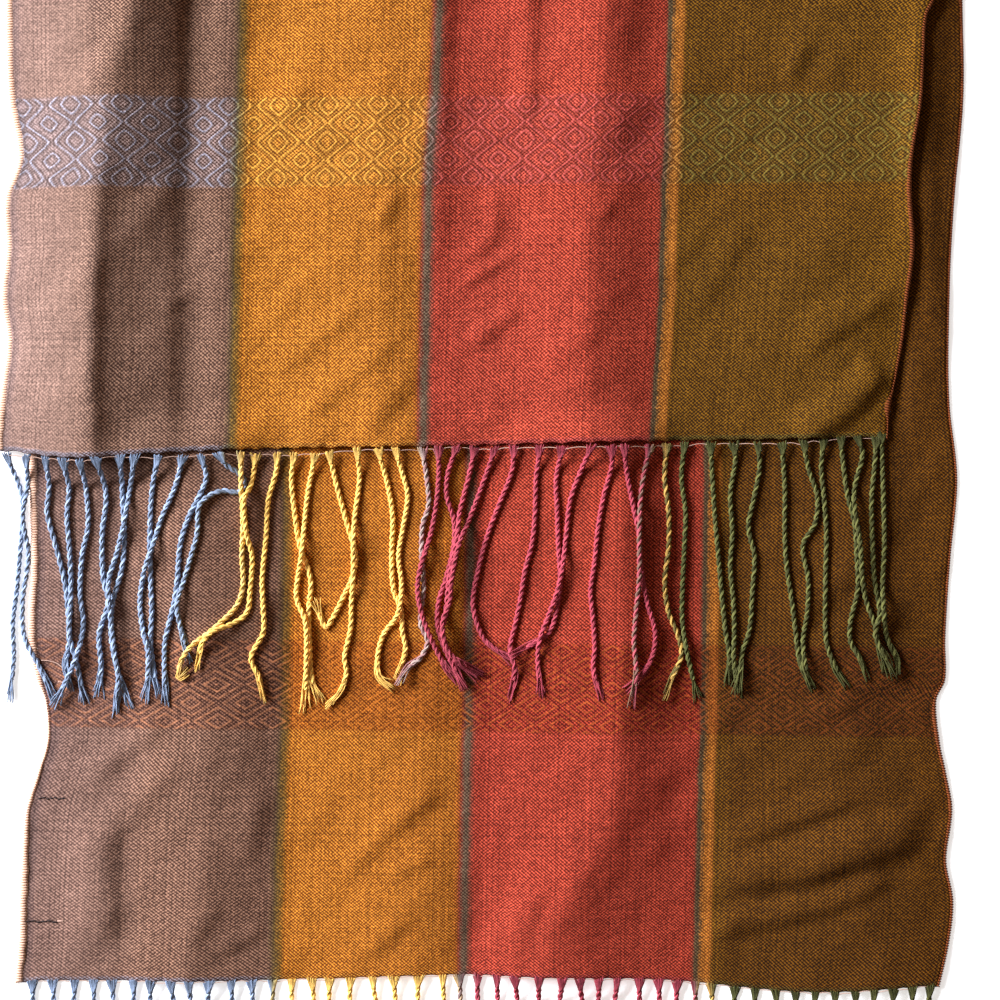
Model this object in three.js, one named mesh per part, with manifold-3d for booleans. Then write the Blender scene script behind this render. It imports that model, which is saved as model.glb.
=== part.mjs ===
// A handwoven cotton scarf, folded once across its length and laid flat on a table.
// The short end lies on the long one, and each end has a fringe of twisted strands.
// Millimetres, +Z up. +X runs along the weft, +Y along the warp towards the fold.
// The origin is the middle of the part's footprint, on the surface it lies on.

import * as THREE from 'three';
import { mergeVertices } from 'three/addons/utils/BufferGeometryUtils.js';
import Module from 'manifold-3d';

// Cloth: how thick the wall is, and how far pieces that meet stay apart.
const WALL = 1.3;
const SEAM = 0.3;

// Widths of the four warp stripes, left to right: mauve, amber, coral, olive.
const STRIPE_WIDTHS = [130, 97, 118, 127];

// Where the fold starts to turn up, the radius of its turn at the middle of the wall, and how
// far before the fold the upper layer starts to rise to it.
const FOLD_Y = 575.6;
const FOLD_RADIUS = 4.25;
const FOLD_RISE_LENGTH = 85;

// Ends of the cloth, and the distance over which a hem's curve fades into straight wefts.
const UPPER_HEM_Y = -185;
const LOWER_HEM_Y = -453;
const HEM_FADE = 60;

// Twisted fringe: strands to a hem, their length, width and height, and how far each one takes
// to come down from the hem to what it lies on.
const UPPER_STRANDS = 45;
const LOWER_STRANDS = 46;
const FRINGE_LENGTH = 123;
const STRAND_WIDTH = 3.2;
const STRAND_HEIGHT = 3;
const STRAND_DROP_LENGTH = 14;
const ROOT_HEIGHT = 1.1;
const STRIP_WIDTH = 1.6;

// How far outside the lower layer's edge a strand of the upper end still rides on it.
const EDGE_REACH = 9;

// Waves that make like things a little unlike: size in millimetres, turn and start in radians.
const WAVES = {
  foldRadius: { size: 0.25, turn: 9, start: 1 },
  upperLength: { size: 4, turn: 2.3, start: 0 },
  lowerBelly: { size: 3, turn: 1.9, start: 0 },
  lowerTip: { size: 4, turn: 1.3, start: 0.7 },
  lowerLength: { size: 3, turn: 2.7, start: 1 },
};

// Sections of the upper layer across the scarf. x of the left edge, of the three lines between
// stripes and of the right edge, at each y.
const UPPER_SECTIONS = [
  { y: -185, left: -241, amber: -122, coral: -27, olive: 89.5, right: 202.5 },
  { y: -168, left: -240, amber: -121.6, coral: -26.8, olive: 90.5, right: 204 },
  { y: -151, left: -237.5, amber: -121.2, coral: -26.5, olive: 91.5, right: 207 },
  { y: -131, left: -235, amber: -120.8, coral: -26, olive: 93, right: 210.5 },
  { y: -111, left: -238, amber: -120.3, coral: -25.5, olive: 94, right: 212.5 },
  { y: -86, left: -235.5, amber: -119.6, coral: -25, olive: 94.8, right: 215.5 },
  { y: -61, left: -236, amber: -119, coral: -24.5, olive: 95.5, right: 214 },
  { y: -41, left: -229, amber: -118.5, coral: -23.5, olive: 96.5, right: 214.5 },
  { y: -11, left: -234, amber: -117.8, coral: -21, olive: 97.5, right: 219 },
  { y: 29, left: -235.5, amber: -116.7, coral: -19, olive: 98.8, right: 221.5 },
  { y: 39, left: -235.5, amber: -116.4, coral: -18.5, olive: 99, right: 225.5 },
  { y: 120, left: -237, amber: -113, coral: -15, olive: 102, right: 229 },
  { y: 250, left: -231, amber: -107, coral: -11, olive: 107, right: 236 },
  { y: 400, left: -235, amber: -105, coral: -9, olive: 109, right: 232 },
  { y: 576, left: -232, amber: -103, coral: -7, olive: 111, right: 237 },
];

// The same for the lower layer.
const LOWER_SECTIONS = [
  { y: -453, left: -232, amber: -100.5, coral: -7, olive: 111.5, right: 229 },
  { y: -431, left: -230, amber: -100, coral: -6.8, olive: 112, right: 234 },
  { y: -411, left: -229.5, amber: -99.5, coral: -6.5, olive: 112.5, right: 236 },
  { y: -391, left: -228.5, amber: -98.9, coral: -6.2, olive: 113, right: 232.5 },
  { y: -366, left: -226.5, amber: -98, coral: -5.8, olive: 113.7, right: 235.5 },
  { y: -348, left: -221, amber: -97.3, coral: -5.3, olive: 114.3, right: 232.5 },
  { y: -331, left: -216, amber: -96.6, coral: -4.9, olive: 115, right: 229 },
  { y: -311, left: -217, amber: -96, coral: -4.5, olive: 115.5, right: 227.5 },
  { y: -301, left: -221, amber: -95.8, coral: -4.3, olive: 115.7, right: 232 },
  { y: -281, left: -225, amber: -95.5, coral: -4, olive: 116, right: 232 },
  { y: -241, left: -223.5, amber: -95.2, coral: -3.6, olive: 116.5, right: 234.5 },
  { y: -201, left: -224.5, amber: -95, coral: -3.2, olive: 117, right: 238 },
  { y: -161, left: -225, amber: -95.5, coral: -3, olive: 117, right: 234 },
  { y: -111, left: -226, amber: -97, coral: -3, olive: 116.5, right: 234 },
  { y: -61, left: -227, amber: -98.5, coral: -3.5, olive: 116, right: 236.5 },
  { y: -11, left: -228, amber: -99.5, coral: -4, olive: 115.5, right: 241 },
  { y: 39, left: -229, amber: -100.5, coral: -4.5, olive: 115, right: 240.5 },
  { y: 300, left: -231, amber: -102, coral: -6, olive: 113, right: 236 },
  { y: 576, left: -232, amber: -103, coral: -7, olive: 111, right: 237 },
];

// How far each hem curves from its straight line, at fractions of the width.
const UPPER_HEM = [
  { across: 0, rise: -1.5 },
  { across: 0.08, rise: -5.5 },
  { across: 0.16, rise: -3.5 },
  { across: 0.28, rise: -1 },
  { across: 0.45, rise: 0 },
  { across: 0.7, rise: 2.5 },
  { across: 1, rise: 4.5 },
];
const LOWER_HEM = [
  { across: 0, rise: 1 },
  { across: 0.25, rise: 1.5 },
  { across: 0.45, rise: 4 },
  { across: 0.68, rise: 2 },
  { across: 0.85, rise: -4.5 },
  { across: 1, rise: -1 },
];

// Folds that stand up from each layer. The crest runs through its points from the near end to
// the far one; left and right are how far its two slopes reach, high is its height and fade
// the length over which each end dies out.
const UPPER_FOLDS = [
  {
    crest: [[-190, -240], [-193, -136], [-190, -61], [-161, 39], [-152, 150]],
    left: 44, right: 24, high: 6, fade: 45,
  },
  { crest: [[-121, -235], [-114, -60], [-109, 130]], left: 18, right: 9, high: 2, fade: 40 },
  { crest: [[-22, -120], [-19, 39], [-14, 170]], left: 20, right: 10, high: 1.8, fade: 50 },
  { crest: [[12, -90], [17.5, 39], [24, 180]], left: 18, right: 10, high: 1.8, fade: 50 },
  { crest: [[48, -110], [60, 39], [66, 230]], left: 26, right: 30, high: 3.2, fade: 60 },
  { crest: [[186, -30], [198, 39], [208, 150]], left: 34, right: 16, high: 3.2, fade: 40 },
  { crest: [[150, -134], [204, -100]], left: 18, right: 8, high: 2.8, fade: 16 },
  { crest: [[146, -180], [199, -150]], left: 16, right: 8, high: 3.2, fade: 14 },
  { crest: [[-70, 190], [-92, 330], [-60, 500]], left: 30, right: 18, high: 3.4, fade: 60 },
  { crest: [[96, 230], [120, 380], [104, 520]], left: 26, right: 16, high: 3, fade: 60 },
  { crest: [[-205, 250], [-186, 420]], left: 20, right: 14, high: 2.6, fade: 50 },
];
const LOWER_FOLDS = [
  { crest: [[-205, -406], [-173, -364], [-143, -334]], left: 14, right: 8, high: 2.2, fade: 20 },
  { crest: [[-188, -440], [-186, -366]], left: 22, right: 9, high: 2.4, fade: 24 },
  { crest: [[60, -448], [64, -330]], left: 26, right: 16, high: 2.6, fade: 40 },
  { crest: [[117, -387], [150, -373], [192, -357]], left: 14, right: 7, high: 2.4, fade: 16 },
  {
    crest: [[112, -425], [155, -419], [179, -410], [201, -398], [229, -385]],
    left: 20, right: 8, high: 4, fade: 18,
  },
];

// How far the upper strands wander, halfway down and at the tip, by where they start.
const UPPER_LEANS = [
  { root: -236, belly: 4, tip: 2 },
  { root: -215, belly: 5, tip: 9 },
  { root: -190, belly: 2, tip: 3 },
  { root: -170, belly: -4, tip: -4 },
  { root: -147, belly: -13, tip: -15 },
  { root: -119, belly: -4, tip: -20 },
  { root: -101, belly: -6, tip: -8 },
  { root: -82, belly: -2, tip: 2 },
  { root: -42, belly: 1, tip: 0 },
  { root: -20, belly: -8, tip: 6 },
  { root: -2, belly: -13, tip: 2 },
  { root: 17, belly: -16, tip: -2 },
  { root: 41, belly: -6, tip: -12 },
  { root: 62, belly: -8, tip: -10 },
  { root: 84, belly: -2, tip: -2 },
  { root: 115, belly: 3, tip: 5 },
  { root: 139, belly: -1, tip: -4 },
  { root: 161, belly: 3, tip: 6 },
  { root: 198, belly: 1, tip: 9 },
];

// Facets across each layer, and the spacing of sections along it where it is creased, which is
// as far as the given y, and where it lies plain. Strands have their rings closer at the root.
const UPPER_COLUMNS = 30;
const LOWER_COLUMNS = 24;
const CREASED_STEP = 12;
const PLAIN_STEP = 52;
const UPPER_CREASED_TO = 50;
const LOWER_CREASED_TO = -180;
const FOLD_STEPS = 6;
const STRAND_STEPS = 5;
const STRAND_CROWDING = 1.3;

const wasm = await Module();
wasm.setup();

// A smooth curve through (knots, values): each piece is a cubic whose end slopes are those of
// the chords past its ends. Beyond the last knots it stays level.
function curve(knots, values, at) {
  const last = knots.length - 1;
  if (at <= knots[0]) return values[0];
  if (at >= knots[last]) return values[last];
  const k = knots.findIndex((knot) => knot > at) - 1;
  const slope = (i) => {
    const before = Math.max(i - 1, 0);
    const after = Math.min(i + 1, last);
    return (values[after] - values[before]) / (knots[after] - knots[before]);
  };
  const span = knots[k + 1] - knots[k];
  const t = (at - knots[k]) / span;
  const ease = t * t * (3 - 2 * t);
  const start = t * (1 - t) * (1 - t) * span * slope(k);
  const end = t * t * (t - 1) * span * slope(k + 1);
  return values[k] + (values[k + 1] - values[k]) * ease + start + end;
}

// The curve of one named column of a table, with another column as its knots.
function column(rows, along, name, at) {
  return curve(rows.map((row) => row[along]), rows.map((row) => row[name]), at);
}

// 0 below 0, 1 above 1, and a soft S between.
function step(t) {
  const s = Math.min(Math.max(t, 0), 1);
  return s * s * (3 - 2 * s);
}

function wave({ size, turn, start }, at) {
  return size * Math.sin(turn * at + start);
}

// x at a fraction of the width: the stripe lines are found first, and the fraction is shared out
// between the two lines on either side of it, by the stripes' real widths.
function acrossScarf(sections, fraction, y) {
  const total = STRIPE_WIDTHS.reduce((sum, width) => sum + width);
  const lines = ['left', 'amber', 'coral', 'olive', 'right'];
  let from = 0;
  let k = 0;
  while (k < 3 && fraction > from + STRIPE_WIDTHS[k] / total) {
    from += STRIPE_WIDTHS[k] / total;
    k += 1;
  }
  const share = (fraction - from) / (STRIPE_WIDTHS[k] / total);
  const left = column(sections, 'y', lines[k], y);
  const right = column(sections, 'y', lines[k + 1], y);
  return left + (right - left) * share;
}

// Height of one fold at (x, y): along the chord of its crest the ends fade in and out, and across
// it the height falls as the square of 1 - (distance / reach)^2.
function foldHeight(fold, x, y) {
  const [x0, y0] = fold.crest[0];
  const [x1, y1] = fold.crest[fold.crest.length - 1];
  const length = Math.hypot(x1 - x0, y1 - y0);
  const alongX = (x1 - x0) / length;
  const alongY = (y1 - y0) / length;
  const along = (px, py) => (px - x0) * alongX + (py - y0) * alongY;
  const aside = (px, py) => (px - x0) * alongY - (py - y0) * alongX;
  const knots = fold.crest.map(([px, py]) => along(px, py));
  const offsets = fold.crest.map(([px, py]) => aside(px, py));
  const s = along(x, y);
  const distance = aside(x, y) - curve(knots, offsets, s);
  const reach = distance < 0 ? fold.left : fold.right;
  const across = Math.max(1 - (distance / reach) ** 2, 0) ** 2;
  return fold.high * across * step(s / fold.fade) * step((length - s) / fold.fade);
}

// Height of a layer's folds at (x, y). Where two meet, the higher one counts most.
function foldsHeight(folds, x, y) {
  return Math.hypot(...folds.map((fold) => foldHeight(fold, x, y)));
}

// Radius of the turn at a fraction of the width: a cloth never folds quite evenly.
function turnRadius(fraction) {
  return FOLD_RADIUS + wave(WAVES.foldRadius, fraction);
}

// Height of the underside of the upper layer: it lies on the lower one, stands up in its folds,
// and rises to the top of the turn.
function upperUnderside(fraction, x, y) {
  const lift = 2 * turnRadius(fraction) - WALL - SEAM;
  const rise = lift * step((y - (FOLD_Y - FOLD_RISE_LENGTH)) / FOLD_RISE_LENGTH);
  return WALL + SEAM + foldsHeight(UPPER_FOLDS, x, y) + rise;
}

function lowerUnderside(fraction, x, y) {
  return foldsHeight(LOWER_FOLDS, x, y);
}

// y of a straight weft after the hem's curve has bent it.
function bentByHem(hem, hemY, fraction, y) {
  return y + column(hem, 'across', 'rise', fraction) * (1 - step((y - hemY) / HEM_FADE));
}

const UPPER = {
  sections: UPPER_SECTIONS,
  hem: UPPER_HEM,
  hemY: UPPER_HEM_Y,
  underside: upperUnderside,
  columns: UPPER_COLUMNS,
  creasedTo: UPPER_CREASED_TO,
};
const LOWER = {
  sections: LOWER_SECTIONS,
  hem: LOWER_HEM,
  hemY: LOWER_HEM_Y,
  underside: lowerUnderside,
  columns: LOWER_COLUMNS,
  creasedTo: LOWER_CREASED_TO,
};

// A point on a layer's underside, at a fraction of the width and a straight weft's y.
function onLayer(layer, fraction, y) {
  const x = acrossScarf(layer.sections, fraction, y);
  const bentY = bentByHem(layer.hem, layer.hemY, fraction, y);
  return new THREE.Vector3(x, bentY, layer.underside(fraction, x, bentY));
}

// A closed body from rows of { low, high } points: low and high sheets, and a rim round them.
// Rows run towards +Y and points in a row towards +X when high is above low.
function wallGeometry(rows) {
  const across = rows[0].length;
  const points = [];
  for (const side of ['low', 'high']) {
    for (const row of rows) {
      for (const point of row) points.push(...point[side].toArray());
    }
  }
  const low = (i, j) => i * across + j;
  const high = (i, j) => rows.length * across + low(i, j);
  const faces = [];
  const quad = (a, b, c, d) => faces.push(a, b, c, a, c, d);
  const lastRow = rows.length - 1;
  const lastColumn = across - 1;
  for (let i = 0; i < lastRow; i += 1) {
    for (let j = 0; j < lastColumn; j += 1) {
      quad(high(i, j), high(i, j + 1), high(i + 1, j + 1), high(i + 1, j));
      quad(low(i, j), low(i + 1, j), low(i + 1, j + 1), low(i, j + 1));
    }
    quad(low(i, 0), high(i, 0), high(i + 1, 0), low(i + 1, 0));
    quad(low(i, lastColumn), low(i + 1, lastColumn), high(i + 1, lastColumn), high(i, lastColumn));
  }
  for (let j = 0; j < lastColumn; j += 1) {
    quad(low(0, j), low(0, j + 1), high(0, j + 1), high(0, j));
    quad(low(lastRow, j), high(lastRow, j), high(lastRow, j + 1), low(lastRow, j + 1));
  }
  const geometry = new THREE.BufferGeometry();
  geometry.setAttribute('position', new THREE.Float32BufferAttribute(points, 3));
  geometry.setIndex(faces);
  return geometry;
}

// Places of the sections along a layer: close together where it is creased, and wider apart
// where it lies plain.
function stations({ hemY, creasedTo }) {
  const end = FOLD_Y - SEAM;
  const creased = Math.ceil((creasedTo - hemY) / CREASED_STEP);
  const plain = Math.ceil((end - creasedTo) / PLAIN_STEP);
  const places = [];
  for (let i = 0; i < creased; i += 1) places.push(hemY + ((creasedTo - hemY) * i) / creased);
  for (let i = 0; i <= plain; i += 1) places.push(creasedTo + ((end - creasedTo) * i) / plain);
  return places;
}

// One layer of cloth: its underside, and the same points moved up by the wall.
function layerGeometry(layer) {
  const rows = stations(layer).map((y) => {
    const row = [];
    for (let j = 0; j <= layer.columns; j += 1) {
      const low = onLayer(layer, j / layer.columns, y);
      row.push({ low, high: low.clone().setZ(low.z + WALL) });
    }
    return row;
  });
  return wallGeometry(rows);
}

// The turn at the fold: half a ring in the YZ plane at each fraction of the width. The face that
// is up on the lower layer comes to lie inside the turn.
function foldGeometry() {
  const rows = [];
  for (let i = 0; i <= FOLD_STEPS; i += 1) {
    const angle = -Math.PI / 2 + (Math.PI * i) / FOLD_STEPS;
    const row = [];
    for (let j = 0; j <= UPPER_COLUMNS; j += 1) {
      const fraction = j / UPPER_COLUMNS;
      const x = acrossScarf(UPPER_SECTIONS, fraction, FOLD_Y);
      const radius = turnRadius(fraction);
      const onRing = (r) => new THREE.Vector3(
        x, FOLD_Y + r * Math.cos(angle), WALL / 2 + radius + r * Math.sin(angle),
      );
      row.push({ low: onRing(radius + WALL / 2), high: onRing(radius - WALL / 2) });
    }
    rows.push(row);
  }
  return wallGeometry(rows);
}

// A narrow strip that follows a hem, just outside it: the roots of the fringe run together in it.
function hemStrip(layer, lift) {
  const far = -SEAM - STRIP_WIDTH;
  const rows = [far, -SEAM].map((outside) => {
    const row = [];
    for (let j = 0; j <= layer.columns; j += 1) {
      const low = onLayer(layer, j / layer.columns, layer.hemY);
      low.y += outside;
      low.z += lift;
      row.push({ low, high: low.clone().setZ(low.z + WALL) });
    }
    return row;
  });
  return wallGeometry(rows);
}

// One strand: four-sided rings along its middle line, closed at both ends. It is no thicker than
// the strip where it runs into it.
function strandGeometry(middle) {
  const points = [];
  middle.forEach(({ x, y, z }, i) => {
    const half = STRAND_WIDTH / 2;
    const rise = (i === 0 ? ROOT_HEIGHT : STRAND_HEIGHT) / 2;
    points.push(x - half, y, z, x, y, z + rise, x + half, y, z, x, y, z - rise);
  });
  const faces = [];
  const corner = (ring, side) => ring * 4 + (side % 4);
  for (let ring = 0; ring < middle.length - 1; ring += 1) {
    for (let side = 0; side < 4; side += 1) {
      const a = corner(ring, side);
      const b = corner(ring, side + 1);
      const c = corner(ring + 1, side + 1);
      const d = corner(ring + 1, side);
      faces.push(a, c, b, a, d, c);
    }
  }
  const tip = middle.length - 1;
  faces.push(0, 1, 2, 0, 2, 3);
  faces.push(corner(tip, 0), corner(tip, 2), corner(tip, 1));
  faces.push(corner(tip, 0), corner(tip, 3), corner(tip, 2));
  const geometry = new THREE.BufferGeometry();
  geometry.setAttribute('position', new THREE.Float32BufferAttribute(points, 3));
  geometry.setIndex(faces);
  return geometry;
}

// Middle line of a strand: x swings through its belly to its tip as a parabola, y runs straight
// down from the hem, and z comes down from the hem to what lies below.
function strandLine(start, belly, tip, length, restHeight) {
  const line = [];
  for (let i = 0; i <= STRAND_STEPS; i += 1) {
    const t = (i / STRAND_STEPS) ** STRAND_CROWDING;
    const x = start.x + belly * 4 * t * (1 - t) + tip * t * (2 * t - 1);
    const y = start.y - length * t;
    const fallen = step((start.y - y) / STRAND_DROP_LENGTH);
    const z = start.z + (restHeight(x, y) - start.z) * fallen;
    line.push({ x, y, z });
  }
  return line;
}

function toSolid(geometry) {
  const bare = new THREE.BufferGeometry();
  bare.setAttribute('position', geometry.attributes.position);
  bare.setIndex(geometry.index);
  const merged = mergeVertices(bare, 1e-5);
  return new wasm.Manifold(new wasm.Mesh({
    numProp: 3,
    vertProperties: new Float32Array(merged.attributes.position.array),
    triVerts: new Uint32Array(merged.index.array),
  }));
}

function toGeometry(solid) {
  const { vertProperties, triVerts } = solid.getMesh();
  const geometry = new THREE.BufferGeometry();
  geometry.setAttribute('position', new THREE.Float32BufferAttribute(vertProperties, 3));
  geometry.setIndex(new THREE.Uint32BufferAttribute(triVerts, 1));
  return geometry;
}

// A fringe: its strip and strands, joined where the roots run into the strip.
function fringeGeometry(layer, count, lift, wander, restHeight) {
  let solid = toSolid(hemStrip(layer, lift));
  for (let i = 0; i < count; i += 1) {
    const start = onLayer(layer, (i + 0.5) / count, layer.hemY);
    start.y -= SEAM + STRIP_WIDTH / 2;
    start.z += lift + WALL / 2;
    const { belly, tip, length } = wander(start.x, i);
    solid = solid.add(toSolid(strandGeometry(strandLine(start, belly, tip, length, restHeight))));
  }
  return toGeometry(solid);
}

// Strands of the upper end lie on the lower layer, or on the table where they hang past its edge.
function upperRest(x, y) {
  const edge = column(LOWER_SECTIONS, 'y', 'left', y);
  const onCloth = step((x - edge + EDGE_REACH) / STRAND_WIDTH);
  const cloth = WALL + foldsHeight(LOWER_FOLDS, x, y);
  return cloth * onCloth + SEAM + STRAND_HEIGHT / 2;
}

function upperWander(x, i) {
  return {
    belly: column(UPPER_LEANS, 'root', 'belly', x),
    tip: column(UPPER_LEANS, 'root', 'tip', x),
    length: FRINGE_LENGTH + wave(WAVES.upperLength, i),
  };
}

// Strands of the lower end lie on the table, in gentle waves.
function lowerRest() {
  return SEAM + STRAND_HEIGHT / 2;
}

function lowerWander(x, i) {
  return {
    belly: wave(WAVES.lowerBelly, i),
    tip: wave(WAVES.lowerTip, i),
    length: FRINGE_LENGTH - WAVES.lowerLength.size + wave(WAVES.lowerLength, i),
  };
}

const MATERIALS = {
  cloth: new THREE.MeshStandardMaterial({ color: 0xa5643f, roughness: 0.92, metalness: 0 }),
  yarn: new THREE.MeshStandardMaterial({ color: 0xb8806a, roughness: 0.85, metalness: 0 }),
};

function piece(name, geometry, material) {
  const mesh = new THREE.Mesh(geometry, material);
  mesh.name = name;
  return mesh;
}

const scarf = new THREE.Group();
scarf.add(
  piece('cloth_lower', layerGeometry(LOWER), MATERIALS.cloth),
  piece('cloth_fold', foldGeometry(), MATERIALS.cloth),
  piece('cloth_upper', layerGeometry(UPPER), MATERIALS.cloth),
  piece(
    'fringe_upper',
    fringeGeometry(UPPER, UPPER_STRANDS, 0, upperWander, upperRest),
    MATERIALS.yarn,
  ),
  piece(
    'fringe_lower',
    fringeGeometry(LOWER, LOWER_STRANDS, SEAM, lowerWander, lowerRest),
    MATERIALS.yarn,
  ),
);

export default scarf;
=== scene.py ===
"""A handwoven cotton scarf, folded once across its length and laid flat on a table.

The short end lies on the long one, and each end has a fringe of twisted strands.
Sizes are in millimetres until a mesh is made. +X runs along the weft, +Y along the warp
towards the fold, +Z up.
"""

import bpy
import numpy as np
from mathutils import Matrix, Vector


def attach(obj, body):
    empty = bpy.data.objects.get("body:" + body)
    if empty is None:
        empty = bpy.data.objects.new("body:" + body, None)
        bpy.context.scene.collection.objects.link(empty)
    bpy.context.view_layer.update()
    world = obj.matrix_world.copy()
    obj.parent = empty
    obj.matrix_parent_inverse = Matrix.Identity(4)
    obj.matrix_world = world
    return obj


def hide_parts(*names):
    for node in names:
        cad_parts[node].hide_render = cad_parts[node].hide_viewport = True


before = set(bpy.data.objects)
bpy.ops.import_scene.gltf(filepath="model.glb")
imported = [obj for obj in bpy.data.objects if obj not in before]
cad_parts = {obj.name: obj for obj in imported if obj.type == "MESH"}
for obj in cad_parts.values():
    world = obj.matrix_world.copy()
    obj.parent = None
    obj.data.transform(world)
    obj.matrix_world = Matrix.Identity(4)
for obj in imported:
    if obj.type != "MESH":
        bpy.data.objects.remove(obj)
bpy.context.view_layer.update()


# ---- The lower stretch of cloth ---------------------------------------------------------
# The long end of one woven length of cotton: four broad warp stripes crossed by one orange
# weft. It lies on the table with the back of the weave up, a little creased, and a band of
# goose-eye diamonds runs across it near the hem.

MM = 0.001
WALL = 1.3
FOLD_Y = 575.6
LENGTH = 1802.5
WIDTH = 472.0
STRIPE_WIDTHS = [118, 103.5, 126.5, 124]

# y, then x of the left edge, of the three lines between stripes and of the right edge.
LOWER_SECTIONS = np.array([
    [-453, -232, -100.5, -7, 111.5, 229],
    [-431, -230, -100, -6.8, 112, 234],
    [-411, -229.5, -99.5, -6.5, 112.5, 236],
    [-391, -228.5, -98.9, -6.2, 113, 232.5],
    [-366, -226.5, -98, -5.8, 113.7, 235.5],
    [-348, -221, -97.3, -5.3, 114.3, 232.5],
    [-331, -216, -96.6, -4.9, 115, 229],
    [-311, -217, -96, -4.5, 115.5, 227.5],
    [-301, -221, -95.8, -4.3, 115.7, 232],
    [-281, -225, -95.5, -4, 116, 232],
    [-241, -223.5, -95.2, -3.6, 116.5, 234.5],
    [-201, -224.5, -95, -3.2, 117, 238],
    [-161, -225, -95.5, -3, 117, 234],
    [-111, -226, -97, -3, 116.5, 234],
    [-61, -227, -98.5, -3.5, 116, 236.5],
    [-11, -228, -99.5, -4, 115.5, 241],
    [39, -229, -100.5, -4.5, 115, 240.5],
    [300, -231, -102, -6, 113, 236],
    [576, -232, -103, -7, 111, 237],
])
LOWER_HEM_Y = -453
LOWER_HEM = np.array([[0, 1], [0.25, 1.5], [0.45, 4], [0.68, 2], [0.85, -4.5], [1, -1]])
HEM_FADE = 60

# Folds: crest points, reach of the left and right slopes, height, and length of each end.
LOWER_FOLDS = [
    ([[-205, -406], [-173, -364], [-143, -334]], 16, 10, 1.3, 20),
    ([[-190, -440], [-187, -360]], 22, 13, 2.4, 24),
    ([[117, -387], [150, -373], [192, -357]], 14, 7, 2.0, 16),
    ([[112, -401], [130, -398.5], [160, -395.5], [185, -387.5], [210, -380], [229, -372]],
     20, 13, 4.8, 26),
    ([[112, -426], [155, -417.5], [185, -407.5], [210, -395]], 12, 8, 2.2, 16),
]
LOWER_CREASES = [
    ([[214, -190], [216, -60], [222, 60], [226, 200]], 8, 24, 1.4, 30),
    ([[-132, -438], [-105, -424]], 8, 4, 1.1, 8),
    ([[-70, -400], [-42, -372], [-18, -352]], 12, 7, 1.2, 16),
    ([[-48, -398], [-20, -389]], 7, 4, 1.0, 9),
    ([[-62, -440], [-30, -415]], 10, 6, 0.9, 14),
    ([[12, -440], [34, -392]], 16, 9, 1.2, 20),
    ([[-150, -440], [-128, -404]], 12, 8, 1.0, 16),
    ([[-118, -396], [-108, -350]], 10, 9, 1.1, 18),
    ([[-198, -350], [-150, -318]], 12, 8, 0.9, 18),
    ([[-120, -280], [-90, -240]], 12, 8, 1.0, 18),
    ([[-30, -300], [4, -262]], 10, 7, 0.8, 16),
    ([[150, -330], [205, -300]], 12, 7, 0.9, 18),
    ([[150, -275], [200, -236]], 14, 8, 1.0, 20),
    ([[226, -130], [223, -40], [229, 30]], 9, 8, 1.3, 20),
]
# Broad swells: the heights, then rows of y and the x where each height is met.
LOWER_SWELLS = [
    ([0, 4.8, 5.0, 0.8, 0], [
        [-453, -176, -150, -142, -108, -100],
        [-400, -178, -144, -136, -104, -94],
        [-330, -176, -142, -134, -102, -94],
        [-150, -180, -150, -140, -106, -96],
    ]),
    ([0, 2.4, 2.5, 0.4, 0], [
        [-453, -92, -40, -30, -8, 0],
        [-300, -92, -32, -22, -6, 4],
    ]),
    ([0, 7.6, 8.0, 1.6, 0], [
        [-453, -4, 26, 34, 92, 112],
        [-420, -2, 34, 42, 90, 112],
        [-380, 2, 54, 64, 96, 114],
        [-320, 4, 64, 72, 98, 116],
        [-150, 0, 64, 72, 100, 118],
    ]),
    ([0, 3.0, 3.2, 0.6, 0], [
        [-453, 132, 196, 206, 234, 242],
        [-330, 128, 176, 188, 226, 240],
        [-150, 124, 170, 180, 222, 236],
    ]),
]
LOWER_ROWS = [(-453, -451, 3), (-451, -181, 118), (-181, 60, 44), (60, FOLD_Y, 40)]
COLUMNS = 200
LOWER_TILT = 5.0
SHOWN_BELOW_Y = -160
SHOWN_BEYOND_X = 205
HIDDEN_RELIEF = 0.1


def soft_step(t):
    """0 below 0, 1 above 1, and between them three squares less two cubes of t."""
    s = np.clip(t, 0, 1)
    return s * s * (3 - 2 * s)


def cubic(low, high, span, t, low_slope, high_slope):
    """From low to high while t goes from 0 to 1, with a given slope at each end of the span."""
    start = t * (1 - t) ** 2 * span * low_slope
    end = t * t * (t - 1) * span * high_slope
    return low + (high - low) * soft_step(t) + start + end


def through(knots, values, at):
    """A cubic between each two knots. Its slope at a knot is that of the chord between the
    knots on either side, and it stays level beyond the ends."""
    knots, values = np.asarray(knots, float), np.asarray(values, float)
    last = len(knots) - 1
    before = np.maximum(np.arange(last + 1) - 1, 0)
    after = np.minimum(np.arange(last + 1) + 1, last)
    slopes = (values[after] - values[before]) / (knots[after] - knots[before])
    k = np.clip(np.searchsorted(knots, at, side="right") - 1, 0, last - 1)
    span = knots[k + 1] - knots[k]
    t = np.clip((at - knots[k]) / span, 0, 1)
    return cubic(values[k], values[k + 1], span, t, slopes[k], slopes[k + 1])


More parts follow.
